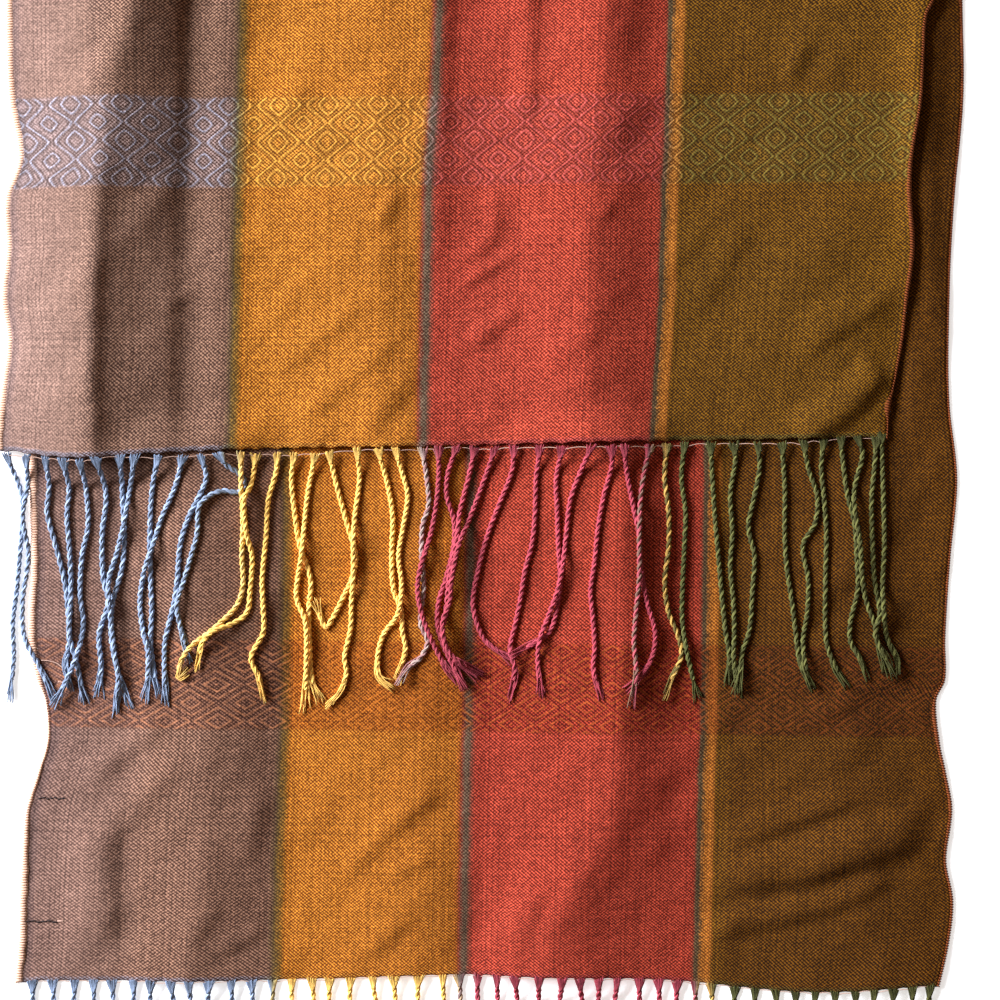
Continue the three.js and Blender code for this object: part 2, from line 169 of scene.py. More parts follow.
def across_scarf(sections, fraction, y):
    """x at a fraction of the width: the stripe lines come first, and the fraction is shared
    out between the two lines on either side of it, by the stripes' real widths."""
    fraction, y = np.broadcast_arrays(fraction, y)
    lines = np.stack([through(sections[:, 0], sections[:, i], y) for i in range(1, 6)])
    shares = np.cumsum([0, *STRIPE_WIDTHS]) / sum(STRIPE_WIDTHS)
    k = np.clip(np.searchsorted(shares, fraction, side="right") - 1, 0, 3)
    part = (fraction - shares[k]) / (shares[k + 1] - shares[k])
    left = np.take_along_axis(lines, k[None], 0)[0]
    right = np.take_along_axis(lines, k[None] + 1, 0)[0]
    return left + (right - left) * part


def fold_height(fold, x, y):
    """Along the chord of the crest the ends fade in and out. Across it the height falls as
    the square of 1 - (distance / reach)^2."""
    crest, left, right, high, fade = fold
    crest = np.array(crest, float)
    chord = crest[-1] - crest[0]
    length = np.hypot(*chord)
    along_x, along_y = chord / length
    x0, y0 = crest[0]

    def along(px, py):
        return (px - x0) * along_x + (py - y0) * along_y

    def aside(px, py):
        return (px - x0) * along_y - (py - y0) * along_x

    s = along(x, y)
    bend = through(along(*crest.T), aside(*crest.T), s)
    distance = aside(x, y) - bend
    reach = np.where(distance < 0, left, right)
    across = np.maximum(1 - (distance / reach) ** 2, 0) ** 2
    return high * across * soft_step(s / fade) * soft_step((length - s) / fade)


def contour_height(heights, rows, x, y):
    """Each row is y, then the x where each of the heights is met. Between two of these
    contour lines the height is a cubic, as in through."""
    rows, heights = np.array(rows, float), np.array(heights, float)
    lines = np.stack([through(rows[:, 0], rows[:, i], y) for i in range(1, rows.shape[1])])
    last = len(heights) - 1
    k = np.clip((lines <= x).sum(0) - 1, 0, last - 1)

    def line(i):
        return np.take_along_axis(lines, np.clip(i, 0, last)[None], 0)[0]

    def slope(i):
        a, b = np.clip(i - 1, 0, last), np.clip(i + 1, 0, last)
        return (heights[b] - heights[a]) / (line(b) - line(a))

    span = line(k + 1) - line(k)
    t = np.clip((x - line(k)) / span, 0, 1)
    return cubic(heights[k], heights[k + 1], span, t, slope(k), slope(k + 1))


def folds_height(folds, x, y):
    """The root of the sum of squares, so that the higher of two folds counts most."""
    return np.sqrt(sum(fold_height(fold, x, y) ** 2 for fold in folds))


def soft_noise(x, y, seed):
    """Random heights from -1 to 1 at whole numbers, blended by the soft step between them."""
    grid = np.random.default_rng(seed).uniform(-1, 1, (61, 61))
    i, j = np.floor(x).astype(int), np.floor(y).astype(int)
    tx, ty = soft_step(x - i), soft_step(y - j)
    near = grid[i % 61, j % 61] * (1 - tx) + grid[(i + 1) % 61, j % 61] * tx
    far = grid[i % 61, (j + 1) % 61] * (1 - tx) + grid[(i + 1) % 61, (j + 1) % 61] * tx
    return near * (1 - ty) + far * ty


def crumple(x, y, seed):
    """Noise in four sizes: fine puckers, rounder ones, slanting wrinkles that are long from
    lower left to upper right, and long waves down the warp."""
    slant_across, slant_along = (x - y) * 0.7, (x + y) * 0.7
    return (
        0.2 * soft_noise(x / 6.3, y / 7.4, seed)
        + 0.3 * soft_noise(x / 17, y / 22, seed + 1)
        + 0.42 * soft_noise(slant_across / 11, slant_along / 34, seed + 2)
        + 0.5 * soft_noise(x / 24, y / 110, seed + 3)
    )


def lower_relief(x, y):
    """Creases, swells and crumples of the part that shows. They are faint under the upper
    layer."""
    shown = np.maximum(soft_step((SHOWN_BELOW_Y - y) / 25), soft_step((x - SHOWN_BEYOND_X) / 12))
    creases = sum(fold_height(crease, x, y) for crease in LOWER_CREASES)
    swells = sum(contour_height(*swell, x, y) for swell in LOWER_SWELLS)
    share = HIDDEN_RELIEF + (1 - HIDDEN_RELIEF) * shown
    return (creases + swells + crumple(x, y, 11)) * share


def lower_top(x, y):
    """Height of the lower layer's upper face at a place that it covers."""
    return WALL + folds_height(LOWER_FOLDS, x, y) + lower_relief(x, y)


def bent_by_hem(hem, hem_y, fraction, y):
    """A straight weft's y, moved by the hem's curve, which fades out over HEM_FADE."""
    return y + through(hem[:, 0], hem[:, 1], fraction) * (1 - soft_step((y - hem_y) / HEM_FADE))


def hem_arches(fraction, roots, hem_y, y):
    """Between two strands the hem draws back by a millimetre, in a shallow arch."""
    k = np.clip(np.searchsorted(roots, fraction) - 1, 0, len(roots) - 2)
    part = np.clip((fraction - roots[k]) / (roots[k + 1] - roots[k]), 0, 1)
    return 1.1 * np.sin(np.pi * part) * (1 - soft_step((y - hem_y) / 6))


def hem_thinning(hem_y, y):
    """The last millimetre and a half of the cloth grows thinner towards the hem."""
    return 0.5 * (1 - soft_step((y - hem_y) / 1.6))


def laid_grid(sections, hem, hem_y, stretches, roots):
    """Share of the width, y of the straight wefts, and x and y as they lie. The rows come in
    stretches of (from, to, steps)."""
    parts = [np.linspace(a, b, n, endpoint=False) for a, b, n in stretches]
    rows = np.append(np.concatenate(parts), stretches[-1][1])
    fraction, weft_y = np.meshgrid(np.linspace(0, 1, COLUMNS + 1), rows)
    x = across_scarf(sections, fraction, weft_y)
    y = bent_by_hem(hem, hem_y, fraction, weft_y) + hem_arches(fraction, roots, hem_y, weft_y)
    return fraction, weft_y, x, y


def new_piece(name, points, faces, uv_map, uvs, numbers, material, smooth=None):
    """Puts arrays into a mesh. faces are arrays of corner numbers, uvs has a pair for each
    corner of them in order, and numbers has named values, one to a point. Only the first
    arrays of faces are smooth, as many as smooth says."""
    mesh = bpy.data.meshes.new(name)
    corners = np.concatenate([face.ravel() for face in faces]).astype(np.int32)
    sizes = np.concatenate([np.full(len(face), face.shape[1]) for face in faces])
    mesh.vertices.add(len(points))
    mesh.vertices.foreach_set("co", (points * MM).astype(np.float32).ravel())
    mesh.loops.add(len(corners))
    mesh.loops.foreach_set("vertex_index", corners)
    mesh.polygons.add(len(sizes))
    mesh.polygons.foreach_set("loop_start", (np.cumsum(sizes) - sizes).astype(np.int32))
    mesh.update(calc_edges=True)
    mesh.uv_layers.new(name=uv_map).data.foreach_set("uv", uvs.astype(np.float32).ravel())
    for label, values in numbers.items():
        attribute = mesh.attributes.new(label, "FLOAT", "POINT")
        attribute.data.foreach_set("value", values.astype(np.float32).ravel())
    counts = [len(face) for face in faces]
    rounded = np.arange(len(sizes)) < sum(counts[:smooth])
    mesh.polygons.foreach_set("use_smooth", rounded)
    mesh.materials.append(material)
    piece = bpy.data.objects.new(name, mesh)
    bpy.context.scene.collection.objects.link(piece)
    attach(piece, "root")
    return piece


def cloth_shell(name, top, bottom, uv, top_is_face, material):
    """Two grids of points, closed into a thin shell by a rim round their borders."""
    rows, columns, _ = top.shape
    high = np.arange(rows * columns).reshape(rows, columns)
    low = high + rows * columns

    def quads(a, b, c, d):
        return np.stack([a, b, c, d], -1).reshape(-1, 4)

    def strip(a, b):
        return quads(a[:-1], a[1:], b[1:], b[:-1])

    faces = [
        quads(high[:-1, :-1], high[:-1, 1:], high[1:, 1:], high[1:, :-1]),
        quads(low[:-1, :-1], low[1:, :-1], low[1:, 1:], low[:-1, 1:]),
        strip(low[0], high[0]),
        strip(high[-1], low[-1]),
        strip(high[:, 0], low[:, 0]),
        strip(low[:, -1], high[:, -1]),
    ]
    points = np.concatenate([top.reshape(-1, 3), bottom.reshape(-1, 3)])
    flat_uv = np.tile(uv.reshape(-1, 2), (2, 1))
    corner_uv = np.concatenate([flat_uv[face.ravel()] for face in faces])
    is_face = np.repeat([top_is_face, 1 - top_is_face], rows * columns)
    numbers = {"weave_face": is_face}
    return new_piece(name, points, faces, "cloth", corner_uv, numbers, material, 2)


class Signal:
    """A shader socket in an expression: each operator adds its Math node."""

    def __init__(self, tree, socket=None):
        self.tree = tree
        self.socket = socket

    def node(self, kind, inputs, output=0, **settings):
        """Adds a node: settings come first, then the values or links of its sockets."""
        made = self.tree.nodes.new(kind)
        for key, value in settings.items():
            setattr(made, key, value)
        for key, value in inputs.items():
            if isinstance(value, Signal):
                self.tree.links.new(value.socket, made.inputs[key])
            else:
                made.inputs[key].default_value = value
        return Signal(self.tree, made.outputs[output])

    def math(self, operation, *others):
        return self.node("ShaderNodeMath", dict(enumerate([self, *others])), operation=operation)

    def __add__(self, other):
        return self.math("ADD", other)

    def __sub__(self, other):
        return self.math("SUBTRACT", other)

    def __mul__(self, other):
        return self.math("MULTIPLY", other)

    def __truediv__(self, other):
        return self.math("DIVIDE", other)

    def __rsub__(self, other):
        return self.node("ShaderNodeMath", {0: other, 1: self}, operation="SUBTRACT")

    __radd__ = __add__
    __rmul__ = __mul__

    def wave(self):
        """The cosine of this many full turns."""
        return (self * (2 * np.pi)).math("COSINE")

    def off_whole(self):
        """How far this is from the nearest whole number."""
        return (self - (self + 0.5).math("FLOOR")).math("ABSOLUTE")

    def ramp(self, low, high):
        """0 at low, 1 at high, with a soft step between."""
        inputs = {"Value": self, "From Min": low, "From Max": high}
        return self.node("ShaderNodeMapRange", inputs, interpolation_type="SMOOTHSTEP")

    def attribute(self, name):
        return self.node("ShaderNodeAttribute", {}, "Fac", attribute_name=name)

    def uv_pair(self, uv_map):
        """The two coordinates of a UV map."""
        uv = self.node("ShaderNodeUVMap", {}, uv_map=uv_map)
        first = self.node("ShaderNodeSeparateXYZ", {0: uv})
        return first, Signal(self.tree, first.socket.node.outputs["Y"])

    def vector(self, other, third=0.0):
        return self.node("ShaderNodeCombineXYZ", {"X": self, "Y": other, "Z": third})

    def stretched(self, scale, turn=0):
        """This vector turned about Z and scaled."""
        inputs = {"Vector": self, "Rotation": (0, 0, turn), "Scale": scale}
        return self.node("ShaderNodeMapping", inputs)

    def noise(self, scale, detail=1.0):
        """Smooth noise about 0, from about -1 to 1, at this vector."""
        inputs = {"Vector": self, "Scale": scale, "Detail": detail}
        return (self.node("ShaderNodeTexNoise", inputs) - 0.5) * 2.5

    def chance(self):
        """A random number from 0 to 1 for each whole number."""
        return self.node("ShaderNodeTexWhiteNoise", {"W": self}, noise_dimensions="1D")

    def striped(self, table, column=1):
        """The colour in a column of the table at this share of the width."""
        made = self.node("ShaderNodeValToRGB", {"Fac": self})
        elements = made.socket.node.color_ramp.elements
        stops = [(row[0] / WIDTH, linear(*row[column])) for row in table]
        elements[0].position, elements[1].position = stops[0][0], stops[-1][0]
        for position, _ in stops[1:-1]:
            elements.new(position)
        for element, (_, colour) in zip(elements, stops):
            element.color = (*colour, 1)
        return made

    def mixed(self, colour, other, blend="MIX"):
        """This signal is the factor between two colours."""
        inputs = {0: self, 6: rgba(colour), 7: rgba(other)}
        return self.node("ShaderNodeMix", inputs, 2, data_type="RGBA", blend_type=blend)

    def tinted(self, colour):
        """A colour made lighter or darker by this signal."""
        inputs = {"Vector": colour, "Scale": self}
        return self.node("ShaderNodeVectorMath", inputs, operation="SCALE")

    def raised(self, strength):
        """The normal of a surface with this signal as its height."""
        inputs = {"Strength": strength, "Distance": 0.0003, "Height": self}
        return self.node("ShaderNodeBump", inputs)


def painted(name, roughness, shine, paint):
    """A material. paint turns a first signal into the sockets and signals that it links."""
    material = bpy.data.materials.new(name)
    material.use_nodes = True
    tree = material.node_tree
    shader = tree.nodes["Principled BSDF"]
    shader.inputs["Roughness"].default_value = roughness
    shader.inputs["Specular IOR Level"].default_value = shine
    for key, signal in paint(Signal(tree)).items():
        tree.links.new(signal.socket, shader.inputs[key])
    return material


def linear(red, green, blue):
    """A colour as it looks, 0 to 255, as light."""
    share = np.array([red, green, blue]) / 255
    light = np.where(share <= 0.04045, share / 12.92, ((share + 0.055) / 1.055) ** 2.4)
    return tuple(float(value) for value in light)


def rgba(colour):
    return colour if isinstance(colour, Signal) else (*colour, 1)


# Colours by place across the scarf in mm: the lighter and the darker of the two threads, then
# warp that floats over several wefts, and weft that floats on the back. Narrow stripes stand
# between the broad ones. In the mauve stripe, on both layers, both threads are painted lighter
# and bluer at the left edge and darker and browner from 56 mm on: painted light on the slope of
# the broad ridge that faces the window, and painted shade on its far slope.
THREADS = [
    (0, (170, 139, 131), (112, 88, 87)), (8, (170, 135, 120), (102, 77, 70)),
    (36, (168, 132, 114), (94, 68, 60)), (56, (168, 129, 106), (76, 50, 42)),
    (113, (161, 121, 97), (70, 45, 37)), (115.2, (118, 98, 62), (64, 50, 30)),
    (117.5, (140, 108, 46), (80, 56, 20)), (119.5, (220, 146, 51), (115, 53, 11)),
    (215.5, (214, 138, 48), (112, 51, 11)), (216.3, (202, 84, 50), (104, 32, 18)),
    (217.3, (196, 80, 52), (98, 28, 20)), (218.2, (126, 106, 84), (70, 47, 36)),
    (222.2, (122, 102, 80), (68, 46, 34)), (223.6, (190, 78, 56), (92, 24, 18)),
    (226, (204, 84, 60), (98, 24, 17)), (341, (198, 80, 55), (95, 23, 16)),
    (342.2, (112, 92, 66), (60, 42, 28)), (344.8, (104, 86, 56), (56, 38, 22)),
    (346, (200, 128, 50), (112, 60, 18)), (350.4, (192, 120, 44), (108, 56, 15)),
    (351.8, (126, 84, 15), (44, 20, 3)), (440, (128, 86, 14), (44, 20, 3)),
    (472, (142, 96, 16), (52, 25, 4)),
]
FLOATS = [
    (0, (156, 156, 172)), (110, (152, 152, 168)), (116, (142, 136, 96)), (121, (226, 164, 68)),
    (214, (226, 156, 64)), (219, (132, 118, 110)), (226, (186, 84, 78)), (340, (184, 78, 74)),
    (344, (132, 108, 80)), (349, (206, 142, 66)), (354, (108, 98, 44)), (472, (116, 102, 42)),
]
BAND_WEFTS = [
    (0, (206, 136, 98)), (110, (206, 134, 92)), (122, (204, 116, 40)), (214, (200, 110, 36)),
    (226, (186, 92, 40)), (340, (184, 90, 38)), (354, (124, 60, 20)), (472, (120, 56, 18)),
]
ENDS = 441
PICKS = 2055
REPEAT_ACROSS = 26.35
REPEAT_ALONG = 18.3
BAND_FROM_HEM = 151.0
BAND_MIDDLE_ACROSS = 242.7
STITCH_DEPTH = 3.6


def handwoven_cotton(start):
    """Plain weave: warp ends and weft picks take turns to lie on top, so the cloth is a
    chequer of two diagonal waves, cos(end + pick) and cos(end - pick). Which of the two is
    the stronger differs between the faces and drifts from place to place."""
    u, v = start.uv_pair("cloth")
    face = start.attribute("weave_face")
    across, along = u * WIDTH, v * LENGTH
    place = across.vector(along)
    wander = place.noise(0.11, 2.0)
    shake = place.noise(0.45, 1.0)
    end = u * ENDS + wander * 0.4 + shake * 0.24
    pick = v * PICKS + wander * 0.5 + shake * 0.3
    end_number, pick_number = end.math("FLOOR"), pick.math("FLOOR")
    end_chance, pick_chance = end_number.chance(), pick_number.chance()
    sum_wave, difference_wave = ((end + pick) / 2).wave(), ((end - pick) / 2).wave()
    lean = place.noise(0.04, 2.0) * 0.35 + (face * 0.27 - 0.2)
    lean = lean.math("MAXIMUM", -0.6).math("MINIMUM", 0.6)
    chequer = (sum_wave * (1 + lean) + difference_wave * (1 - lean)) * 0.5
    # gaps is painted shade at the thread scale: darker between the threads, lighter on their
    # crowns.
    gaps = end.wave() * 0.08 + pick.wave() * 0.05

    # The goose-eye band: zigzag lines with an eye in each diamond.
    from_hem = along.math("MINIMUM", LENGTH - along)
    p = (across - BAND_MIDDLE_ACROSS) / REPEAT_ACROSS
    q = (from_hem - BAND_FROM_HEM) / REPEAT_ALONG
    side, up = p.off_whole(), q.off_whole()
    band = 1 - q.math("ABSOLUTE").ramp(1.17, 1.26)
    rounded = 0.5 - q.wave() * 0.5
    swing = up * 2 * 0.55 + rounded * 0.45
    zigzag = (side - (0.425 - swing * 0.39)).math("ABSOLUTE") * 18.5
    eye = (side / 0.19).math("POWER", 1.25) + (up / 0.265).math("POWER", 1.25)
    other_eye = ((0.5 - side) / 0.16).math("POWER", 1.25) + ((0.5 - up) / 0.2).math("POWER", 1.25)
    eye_line = (eye - 1).math("ABSOLUTE") * 3.4
    other_line = (other_eye - 1).math("ABSOLUTE") * 2.9
    nearest = zigzag.math("MINIMUM", eye_line).math("MINIMUM", other_line)
    worn = place.noise(0.5, 2.0)
    rough = nearest + place.noise(1.1, 1.0) * 0.32
    float_lines = (1 - rough.ramp(0.1, 0.8)) * band * (0.84 + chequer * 0.3 + worn * 0.24)
    # On the back the weft floats make plain straight diamonds, one inside another.
    nest = ((side * 0.85 + up) * 5.2).off_whole() * 4.2 + worn * 0.3
    patchy = (place.noise(0.14, 1.0) * 0.6 + 0.55).math("MAXIMUM", 0.1)
    back_lines = (1 - nest.ramp(0.25, 1.0)) * band * patchy
    front, back = float_lines * face, back_lines * (1 - face)

    # Which thread is on top, and its colour. The edges of a stripe are fuzzy, because ends of
    # both colours take turns there.
    cell = (end_number * 0.731 + pick_number * 1.377).chance()
    light_on_top = (chequer + (cell - 0.5) * 0.3 + band * (face * 0.3 - 0.1)).ramp(-0.4, 0.7)
    # Near its left edge the front has a painted sheen, as on the slope that faces the window: the
    # two threads are mixed evenly there, so that they look more alike.
    painted_sheen = (1 - u.ramp(0.075, 0.1)) * face * 0.5
    light_on_top = light_on_top * (1 - painted_sheen) + painted_sheen * 0.5
    fuzzy = u + (cell + end_chance - 1) * (1.1 / WIDTH) + place.noise(0.05) * (0.8 / WIDTH)
    floats = fuzzy.striped(FLOATS)
    hem_dots = 1 - from_hem.ramp(1.6, 3.4)
    light = (hem_dots * 0.75 + band * face * 0.3).mixed(fuzzy.striped(THREADS, 1), floats)
    thread = light_on_top.mixed(fuzzy.striped(THREADS, 2), light)
    # The back is a little darker and redder, most of all in the olive stripe and in the band. In
    # the olive stripe part of it is painted shade, growing towards the right edge beside the upper
    # layer.
    olive_back_and_shade = u.ramp(0.745, 0.77) * (1 - face) * (0.85 + u.ramp(0.8, 1.0) * 0.3)
    thread = (1 - face).mixed(thread, (0.93, 0.88, 0.86), "MULTIPLY")
    thread = olive_back_and_shade.mixed(thread, (0.82, 0.72, 0.74), "MULTIPLY")
    thread = (band * (1 - face)).mixed(thread, (0.8, 0.69, 0.66), "MULTIPLY")
    banded = (front * 0.72).mixed(thread, floats)
    banded = (back * 0.66).mixed(banded, fuzzy.striped(BAND_WEFTS))

    # Light and dark: uneven yarn, slow drifts, and a darker line where the overcasting goes into
    # the
    # cloth: partly its inner thread, partly painted shade where the stitches pull the cloth in.
    end_step = end_chance - (end_number + 1).chance()
    pick_step = pick_chance - (pick_number + 1).chance()
    yarn = (1 + end_step * 0.24) * (1 + pick_step * 0.2)
    blotch = place.noise(0.33, 2.0) * 0.1
    speck = (cell - 0.5) * 0.4 + place.noise(1.3, 1.0) * 0.24 + blotch
    # Painted shadow in dotted lines beside the band's raised floats.
    float_shadow = (1 - (rough - 1.2).math("ABSOLUTE").ramp(0.15, 0.9)) * band * face * (0.3 + cell * 1.3)
    streaks = place.stretched((0.5, 0.02, 1)).noise(1.0)
    bars = place.stretched((0.02, 0.5, 1)).noise(1.0)
    drift = streaks * 0.03 + bars * 0.03 + place.noise(0.03, 3.0) * 0.12
    edge_distance = across.math("MINIMUM", WIDTH - across)
    stitch_line_and_shade = (edge_distance - STITCH_DEPTH).math("ABSOLUTE").ramp(0.3, 0.9) * 0.45 + 0.55
    # front * 0.06 paints the band's raised floats a little lighter: a painted highlight.
    value = yarn * (1 + drift + speck + gaps - float_shadow * 0.46 + front * 0.06) * stitch_line_and_shade

    wrinkles = place.stretched((0.055, 0.2, 1), 0.9).noise(1.0, 3.0)
    height = chequer * 0.5 + front * 1.4 + back * 0.8 + yarn + speck + wrinkles * 1.6
    return {"Base Color": value.tinted(banded), "Normal": height.raised(0.4)}


COTTON = painted("handwoven_cotton", 0.95, 0.15, handwoven_cotton)

# Where the lower strands leave the hem: x.
LOWER_ROOTS = np.array([
    -223.5, -213.5, -202.5, -193, -184, -173, -164, -154, -145, -135, -124, -114, -103.5,
    -94, -84, -75, -64.5, -53.5, -43, -30.5, -18.5, -10.5, -1, 8.5, 17.5, 29.5, 41, 49.5, 59,
    68.5, 79.5, 89, 98.5, 107.5, 115.5, 127.5, 137.5, 147.5, 157.5, 167.5, 177, 187, 196.5,
    206, 215.5, 224.5,
])


def share_of_width(section, x):
    """The fraction of the width at x, by the stripes' real widths, for one row of sections."""
    return np.interp(x, section[1:], np.cumsum([0, *STRIPE_WIDTHS]) / WIDTH)


lower_root_shares = share_of_width(LOWER_SECTIONS[0], LOWER_ROOTS)

fraction, weft_y, lower_x, lower_y = laid_grid(
    LOWER_SECTIONS, LOWER_HEM, LOWER_HEM_Y, LOWER_ROWS, lower_root_shares
)
folds = folds_height(LOWER_FOLDS, lower_x, lower_y)
relief = lower_relief(lower_x, lower_y)
near_fold = soft_step((FOLD_Y - weft_y) / 25)
top_z = WALL + folds + relief * near_fold - hem_thinning(LOWER_HEM_Y, weft_y)
bottom_z = np.maximum(0.1 + folds + relief * near_fold, 0.05)
# The wefts slope a little, so they reach the right edge further along.
tilt = LOWER_TILT * fraction * soft_step((weft_y - LOWER_HEM_Y) / HEM_FADE) * near_fold
lower_v = (LENGTH - (weft_y + tilt - LOWER_HEM_Y)) / LENGTH
lower_cloth = cloth_shell(
    "cloth_lower_stretch",
    np.stack([lower_x, lower_y, top_z], -1),
    np.stack([lower_x, lower_y, bottom_z], -1),
    np.stack([fraction, lower_v], -1),
    0,
    COTTON,
)
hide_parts("cloth_lower")


# ---- The upper stretch and the fold -----------------------------------------------------
# The short end of the same cloth, turned over at a soft fold so that the front of the weave
# is up. It lies on the lower stretch, and has a broad ridge and slanting wrinkles in it.

SEAM = 0.3
FOLD_RADIUS = 4.25
FOLD_RISE_LENGTH = 85
UPPER_HEM_Y = -185
UPPER_SECTIONS = np.array([
    [-185, -241, -122, -27, 89.5, 202.5],
    [-168, -240, -121.6, -26.8, 90.5, 204],
    [-151, -237.5, -121.2, -26.5, 91.5, 207],
    [-131, -235, -120.8, -26, 93, 210.5],
    [-111, -238, -120.3, -25.5, 94, 212.5],
    [-86, -235.5, -119.6, -25, 94.8, 215.5],
    [-61, -236, -119, -24.5, 95.5, 214],
    [-41, -229, -118.5, -23.5, 96.5, 214.5],
    [-11, -234, -117.8, -21, 97.5, 219],
    [29, -235.5, -116.7, -19, 98.8, 221.5],
    [39, -235.5, -116.4, -18.5, 99, 225.5],
    [120, -237, -113, -15, 102, 229],
    [250, -231, -107, -11, 107, 236],
    [400, -235, -105, -9, 109, 232],
    [576, -232, -103, -7, 111, 237],
])
UPPER_HEM = np.array([
    [0, -1.5], [0.08, -5.5], [0.16, -3.5], [0.28, -1], [0.45, 0], [0.7, 2.5], [1, 4.5]
])
UPPER_FOLDS = [
    ([[-22, -120], [-19, 39], [-14, 170]], 20, 10, 1.2, 50),
    ([[23, -40], [26, 39], [30, 180]], 12, 6, 1.3, 30),
    ([[156, -140], [204, -106]], 20, 9, 2.0, 18),
    ([[158, -181], [184, -164], [202, -142]], 15, 10, 4.2, 10),
    ([[-70, 190], [-92, 330], [-60, 500]], 30, 18, 3.4, 60),
    ([[96, 230], [120, 380], [104, 520]], 26, 16, 3, 60),
    ([[-205, 250], [-186, 420]], 20, 14, 2.6, 50),
]
UPPER_SWELLS = [
    ([0, 1, 14.4, 15, 11.6, 4.4, 0.4, 1.6, 0], [
        [-190, -241, -236, -195.5, -191, -184.5, -156, -145.5, -129, -113],
        [-136, -241, -236, -195.5, -191, -184.5, -156, -145.5, -129, -113],
        [-90, -241, -236, -194, -189.5, -182.5, -156, -145, -128, -112],
        [-40, -242, -236, -191, -186, -175, -153, -144.5, -128, -112],
        [0, -243, -236, -186, -179, -168, -151, -144, -128, -112],
        [39, -243, -236, -176, -170, -162, -149, -143, -126, -110],
        [100, -243, -236, -168, -160, -152, -138, -130, -112, -96],
    ]),
    ([0, 3.0, 3.2, 0.6, 0], [
        [-190, -118, -62, -52, -26, -18],
        [-60, -116, -60, -46, -22, -10],
        [39, -98, -60, -44, -10, 4],
    ]),
    ([0, 1.2, 6.4, 6.8, 1.4, 0], [
        [-190, -20, 14, 46, 54, 84, 94],
        [-60, -16, 18, 50, 58, 86, 98],
        [39, -8, 30, 56, 64, 88, 104],
    ]),
    ([0, 2.0, 2.2, 0.6, 0], [
        [-190, 98, 148, 156, 182, 198],
        [-150, 100, 168, 176, 196, 210],
        [-110, 110, 192, 200, 214, 224],
        [-60, 130, 206, 216, 230, 240],
        [0, 150, 212, 222, 236, 246],
        [39, 150, 216, 226, 240, 250],
    ]),
]
UPPER_CREASES = [
    ([[-53, -76], [-46, -64], [-40, -54]], 4, 9, 1.0, 6),
    ([[-108, -125], [-76, -92]], 10, 8, 0.6, 14),
    ([[-106, -150], [-56, -112]], 11, 8, 0.8, 16),
    ([[-92, -174], [-36, -126]], 10, 7, 0.8, 16),
    ([[-62, -182], [-28, -146]], 9, 7, 0.7, 12),
    ([[8, -54], [6.5, -78], [-4, -90], [-14, -93]], 6, 8, 1.0, 9),
    ([[-12, -106], [20, -87]], 7, 4, 1.2, 10),
    ([[-6, -134], [22, -114]], 9, 6, 1.2, 10),
    ([[60, -74], [66, -61]], 4, 4, 0.9, 5),
    ([[30, -150], [66, -118]], 12, 8, 0.8, 16),
    ([[150, -8], [164, 22]], 6, 9, 1.6, 12),
    ([[142, -132], [204, -48]], 26, 22, 0.9, 34),
    ([[-160, -118], [-138, -104]], 7, 5, 0.9, 8),
    ([[-176, -92], [-150, -40]], 12, 8, 0.7, 20),
    ([[-104, -30], [-70, 36]], 14, 10, 0.8, 24),
    ([[102, -120], [138, -70]], 16, 10, 0.9, 20),
]
SWELLS_END_Y = 60
SWELLS_FADE = 160
HEM_SWELL = 0.62
UPPER_ROWS = [(-185, -183, 3), (-183, 50, 104), (50, FOLD_Y, 60)]
TURN_ROWS = 16
UPPER_TILT = 4.0


def upper_relief(x, y):
    """Creases, swells and crumples, lifted so that none sinks into the lower layer. The swells
    end a little way above the part that shows, and are flatter at the hem."""
    creases = sum(fold_height(crease, x, y) for crease in UPPER_CREASES)
    swells = sum(contour_height(*swell, x, y) for swell in UPPER_SWELLS)
    swells = swells * (1 - soft_step((y - SWELLS_END_Y) / SWELLS_FADE))
    swells = swells * (HEM_SWELL + (1 - HEM_SWELL) * soft_step((y - (UPPER_HEM_Y - 1)) / 34))
    return creases + swells + np.maximum(crumple(x, y, 41) + 0.5, 0)


def turn_radius(share):
    """The middle of the wall turns round this radius: a cloth never folds quite evenly."""
    return FOLD_RADIUS + 0.25 * np.sin(9 * share + 1)


def upper_under(share, x, y):
    """Height of the upper layer's underside: on the lower one, up in its folds, and rising
    to the top of the turn."""
    lift = 2 * turn_radius(share) - WALL - SEAM
    rise = lift * soft_step((y - (FOLD_Y - FOLD_RISE_LENGTH)) / FOLD_RISE_LENGTH)
    near = soft_step((FOLD_Y - y) / 40)
    shape = folds_height(UPPER_FOLDS, x, y) + upper_relief(x, y) * near
    return WALL + SEAM + np.maximum(lower_relief(x, y), 0) + shape + rise


